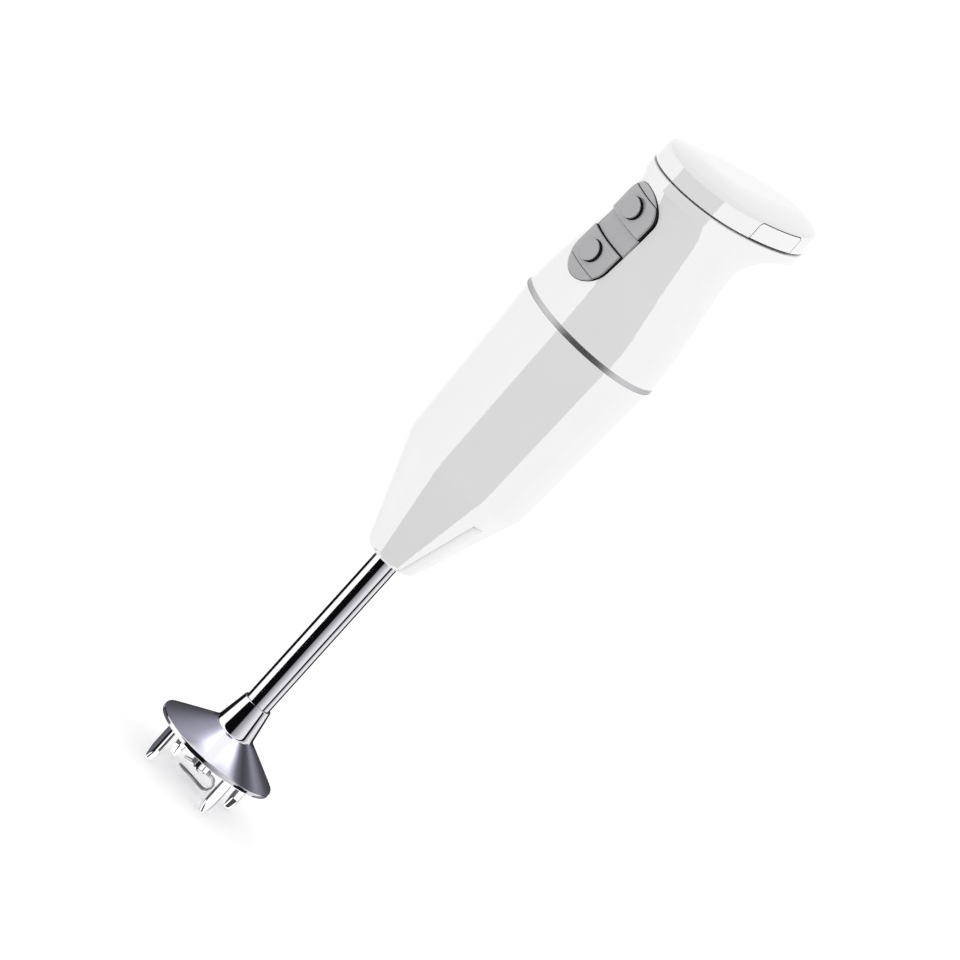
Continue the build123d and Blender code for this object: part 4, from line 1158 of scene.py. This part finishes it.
def bell_angle(shape, stage, points):
    """Angle round the bell at which each point of the tent is mirrored to the camera.

    At an angle f the bell's normal is n = (sin f sin b, cos f sin b, cos b) for its slope b, and
    the sight line v leaves it along d = 2 (n . v) n - v. The line back from the point along d meets
    the bell's middle height at p, and the angle sought is the one at which p itself lies at f.
    """
    degrees = np.arange(-90.0, 91.0)
    angle = np.radians(degrees)
    slope, rise = shape.bell_slope, stage.elevation
    level = np.full_like(angle, cos(slope))
    normal = np.stack([np.sin(angle) * sin(slope), np.cos(angle) * sin(slope), level], axis=1)
    sight = np.array([0.0, cos(rise), sin(rise)])
    leave = 2 * (normal @ sight)[:, None] * normal - sight
    run = (points[:, None, 2] - BELL_MIDDLE) / leave[None, :, 2]
    foot = points[:, None, :2] - run[:, :, None] * leave[None, :, :2]
    across = np.abs(foot[:, :, 0] * np.cos(angle) - foot[:, :, 1] * np.sin(angle))
    out = foot[:, :, 0] * np.sin(angle) + foot[:, :, 1] * np.cos(angle)
    return degrees[np.argmin(np.where(out > 0, across, np.inf), axis=1)]


def flag_sheet(stage, rings):
    """Screen through rings of (radius, height, flags), with the light of each flag along its ring.

    A point lies at r (right sin a + near cos a) plus its height, for a the flag's angle. The sheet
    faces the axis where the rings run downwards. Returns the points, with their parts along right,
    near and up, the faces and the light.
    """
    right, near = (np.array(axis) for axis in toward_camera(stage))
    fine = np.arange(-180.0, 180.5, 1.0)
    angle = np.radians(fine)
    circle = np.stack([np.sin(angle), np.cos(angle)], axis=1)
    parts = np.concatenate(
        [np.insert(radius * circle, 2, height, axis=1) for radius, height, _ in rings]
    )
    verts = parts @ np.array([right, near, (0.0, 0.0, 1.0)])
    count = len(fine)
    step = np.arange(count * (len(rings) - 1)).reshape(-1, count)[:, :-1].ravel()
    faces = np.stack([step, step + 1, step + 1 + count, step + count], axis=1)
    light = []
    for _, _, table in rings:
        degrees, *levels = np.array(table).T
        colour = [np.interp(fine, degrees, level) for level in levels]
        light.append(np.stack([*colour, np.ones(count)], axis=1))
    return verts, parts, faces, np.vstack(light)


def paint_bell_light(shape, stage, parts, light):
    """Paints the part of the tent that the bell mirrors with the bell's own levels."""
    turn = np.abs(np.degrees(np.arctan2(parts[:, 0], parts[:, 1])))
    radius = np.hypot(parts[:, 0], parts[:, 1])
    mirrored = (radius <= BELL_NEAR) & (turn > BELL_NEAR_TURN)
    mirrored |= (radius <= BELL_REACH) & (turn > BELL_TURN)
    level = np.interp(bell_angle(shape, stage, parts[mirrored]), *np.array(BELL_LEVELS).T)
    light[mirrored, :3] = level[:, None] * BELL_TINT


def flag_light():
    """Light from the front of a sheet, whose back is clear."""
    material = bpy.data.materials.new("flag_light")
    nodes, links = node_tree(material)
    source = nodes.new("ShaderNodeAttribute")
    source.attribute_name = "flag_light"
    glow = nodes.new("ShaderNodeEmission")
    links.new(source.outputs["Color"], glow.inputs["Color"])
    side = nodes.new("ShaderNodeNewGeometry")
    clear = nodes.new("ShaderNodeBsdfTransparent")
    back = side.outputs["Backfacing"]
    one_sided = mix_shaders(nodes, links, back, glow.outputs[0], clear.outputs[0])
    output = nodes.new("ShaderNodeOutputMaterial")
    links.new(one_sided, output.inputs["Surface"])
    material.cycles.emission_sampling = "NONE"
    return material


def add_flags(shape, stage):
    """Flags that only mirrors see: a tent, rings round rim and legs, and a card at the neck."""
    material = flag_light()
    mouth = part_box("lower_housing")[0][2]
    for name, rings in (
        ("tent_flags", tent_rings(mouth)),
        ("rim_flags", [(FLAG_RADIUS, height, RIM_FLAGS) for height in RIM_HEIGHTS]),
        ("leg_flags", [(FLAG_RADIUS, height, LEG_FLAGS) for height in LEG_HEIGHTS]),
        ("neck_card", [(*ring, NECK_LIGHT) for ring in NECK_CARD]),
    ):
        verts, parts, faces, light = flag_sheet(stage, rings)
        if name == "tent_flags":
            paint_bell_light(shape, stage, parts, light)
        flags, mesh = mesh_object(name, verts, faces.tolist())
        layer = mesh.attributes.new("flag_light", "FLOAT_COLOR", "POINT")
        layer.data.foreach_set("color", light.astype(np.float32).ravel())
        mesh.materials.append(material)
        flags.visible_camera = False
        flags.visible_diffuse = False
        flags.visible_shadow = False
        flags.visible_transmission = False


# Colour of the floor, and the light of its own that the camera sees.
FLOOR_WHITE, FLOOR_GLOW = 0.92, 0.16


def add_floor(stage):
    """Round white floor that keeps the shadow: matt white with a little light of its own."""
    turn = np.linspace(0, 2 * pi, 97)[:-1]
    rings = np.array([0.0, 0.1, 0.4, 1.0]) * stage.floor_radius
    verts = np.stack(
        [
            np.outer(rings[1:], np.cos(turn)).ravel(),
            np.outer(rings[1:], np.sin(turn)).ravel(),
            np.zeros(3 * len(turn)),
        ],
        axis=1,
    )
    verts = np.vstack([verts, [[0.0, 0.0, 0.0]]])
    count = len(turn)
    step = np.arange(count)
    after = (step + 1) % count
    quads = np.concatenate(
        [
            np.stack([step + row, step + row + count, after + row + count, after + row], axis=1)
            for row in (0, count)
        ]
    )
    fan = np.stack([np.full(count, 3 * count), step, after], axis=1)
    floor, mesh = mesh_object("studio_floor", verts, quads.tolist() + fan.tolist())
    floor.visible_glossy = False
    material = bpy.data.materials.new("floor_white")
    nodes, links = node_tree(material)
    matt = nodes.new("ShaderNodeBsdfDiffuse")
    matt.inputs["Color"].default_value = (FLOOR_WHITE, FLOOR_WHITE, FLOOR_WHITE, 1.0)
    glow = nodes.new("ShaderNodeEmission")
    path = nodes.new("ShaderNodeLightPath")
    level = number(nodes, links, "MULTIPLY", path.outputs["Is Camera Ray"], FLOOR_GLOW)
    links.new(level, glow.inputs["Strength"])
    both = nodes.new("ShaderNodeAddShader")
    links.new(matt.outputs[0], both.inputs[0])
    links.new(glow.outputs[0], both.inputs[1])
    output = nodes.new("ShaderNodeOutputMaterial")
    links.new(both.outputs[0], output.inputs["Surface"])
    material.cycles.emission_sampling = "NONE"
    mesh.materials.append(material)


class IMMERSION_OT_stage(bpy.types.Operator):
    """Set up the floor, the light and the camera"""

    bl_idname = "immersion.stage"
    bl_label = "Set Up Studio"

    def execute(self, context):
        stage = context.scene.immersion_stage
        context.scene.view_settings.view_transform = "Standard"
        add_world(stage)
        add_floor(stage)
        add_flags(context.scene.immersion_shape, stage)
        add_camera(stage)
        return {"FINISHED"}


class IMMERSION_PT_panel(bpy.types.Panel):
    """Sidebar panel with the settings and the steps"""

    bl_idname = "IMMERSION_PT_panel"
    bl_label = "Immersion Blender"
    bl_space_type = "VIEW_3D"
    bl_region_type = "UI"
    bl_category = "Immersion Blender"

    def draw(self, context):
        scene = context.scene
        for group in (scene.immersion_finish, scene.immersion_shape, scene.immersion_stage):
            box = self.layout.box()
            for name in group.__annotations__:
                box.prop(group, name)
        for operator in OPERATORS:
            self.layout.operator(operator.bl_idname)


OPERATORS = (
    IMMERSION_OT_shells,
    IMMERSION_OT_keypad,
    IMMERSION_OT_steel,
    IMMERSION_OT_inside,
    IMMERSION_OT_stage,
)
CLASSES = (FinishSettings, ShapeSettings, StageSettings, *OPERATORS, IMMERSION_PT_panel)


def register():
    """Registers the classes and hangs the settings on the scene."""
    for item in CLASSES:
        bpy.utils.register_class(item)
    bpy.types.Scene.immersion_finish = bpy.props.PointerProperty(type=FinishSettings)
    bpy.types.Scene.immersion_shape = bpy.props.PointerProperty(type=ShapeSettings)
    bpy.types.Scene.immersion_stage = bpy.props.PointerProperty(type=StageSettings)


def unregister():
    """Takes the settings off the scene and unregisters the classes."""
    del bpy.types.Scene.immersion_stage
    del bpy.types.Scene.immersion_shape
    del bpy.types.Scene.immersion_finish
    for item in reversed(CLASSES):
        bpy.utils.unregister_class(item)


def main():
    """Runs every step in order."""
    register()
    bpy.ops.immersion.shells()
    bpy.ops.immersion.keypad()
    bpy.ops.immersion.steel()
    bpy.ops.immersion.inside()
    bpy.ops.immersion.stage()


if __name__ == "__main__":
    main()
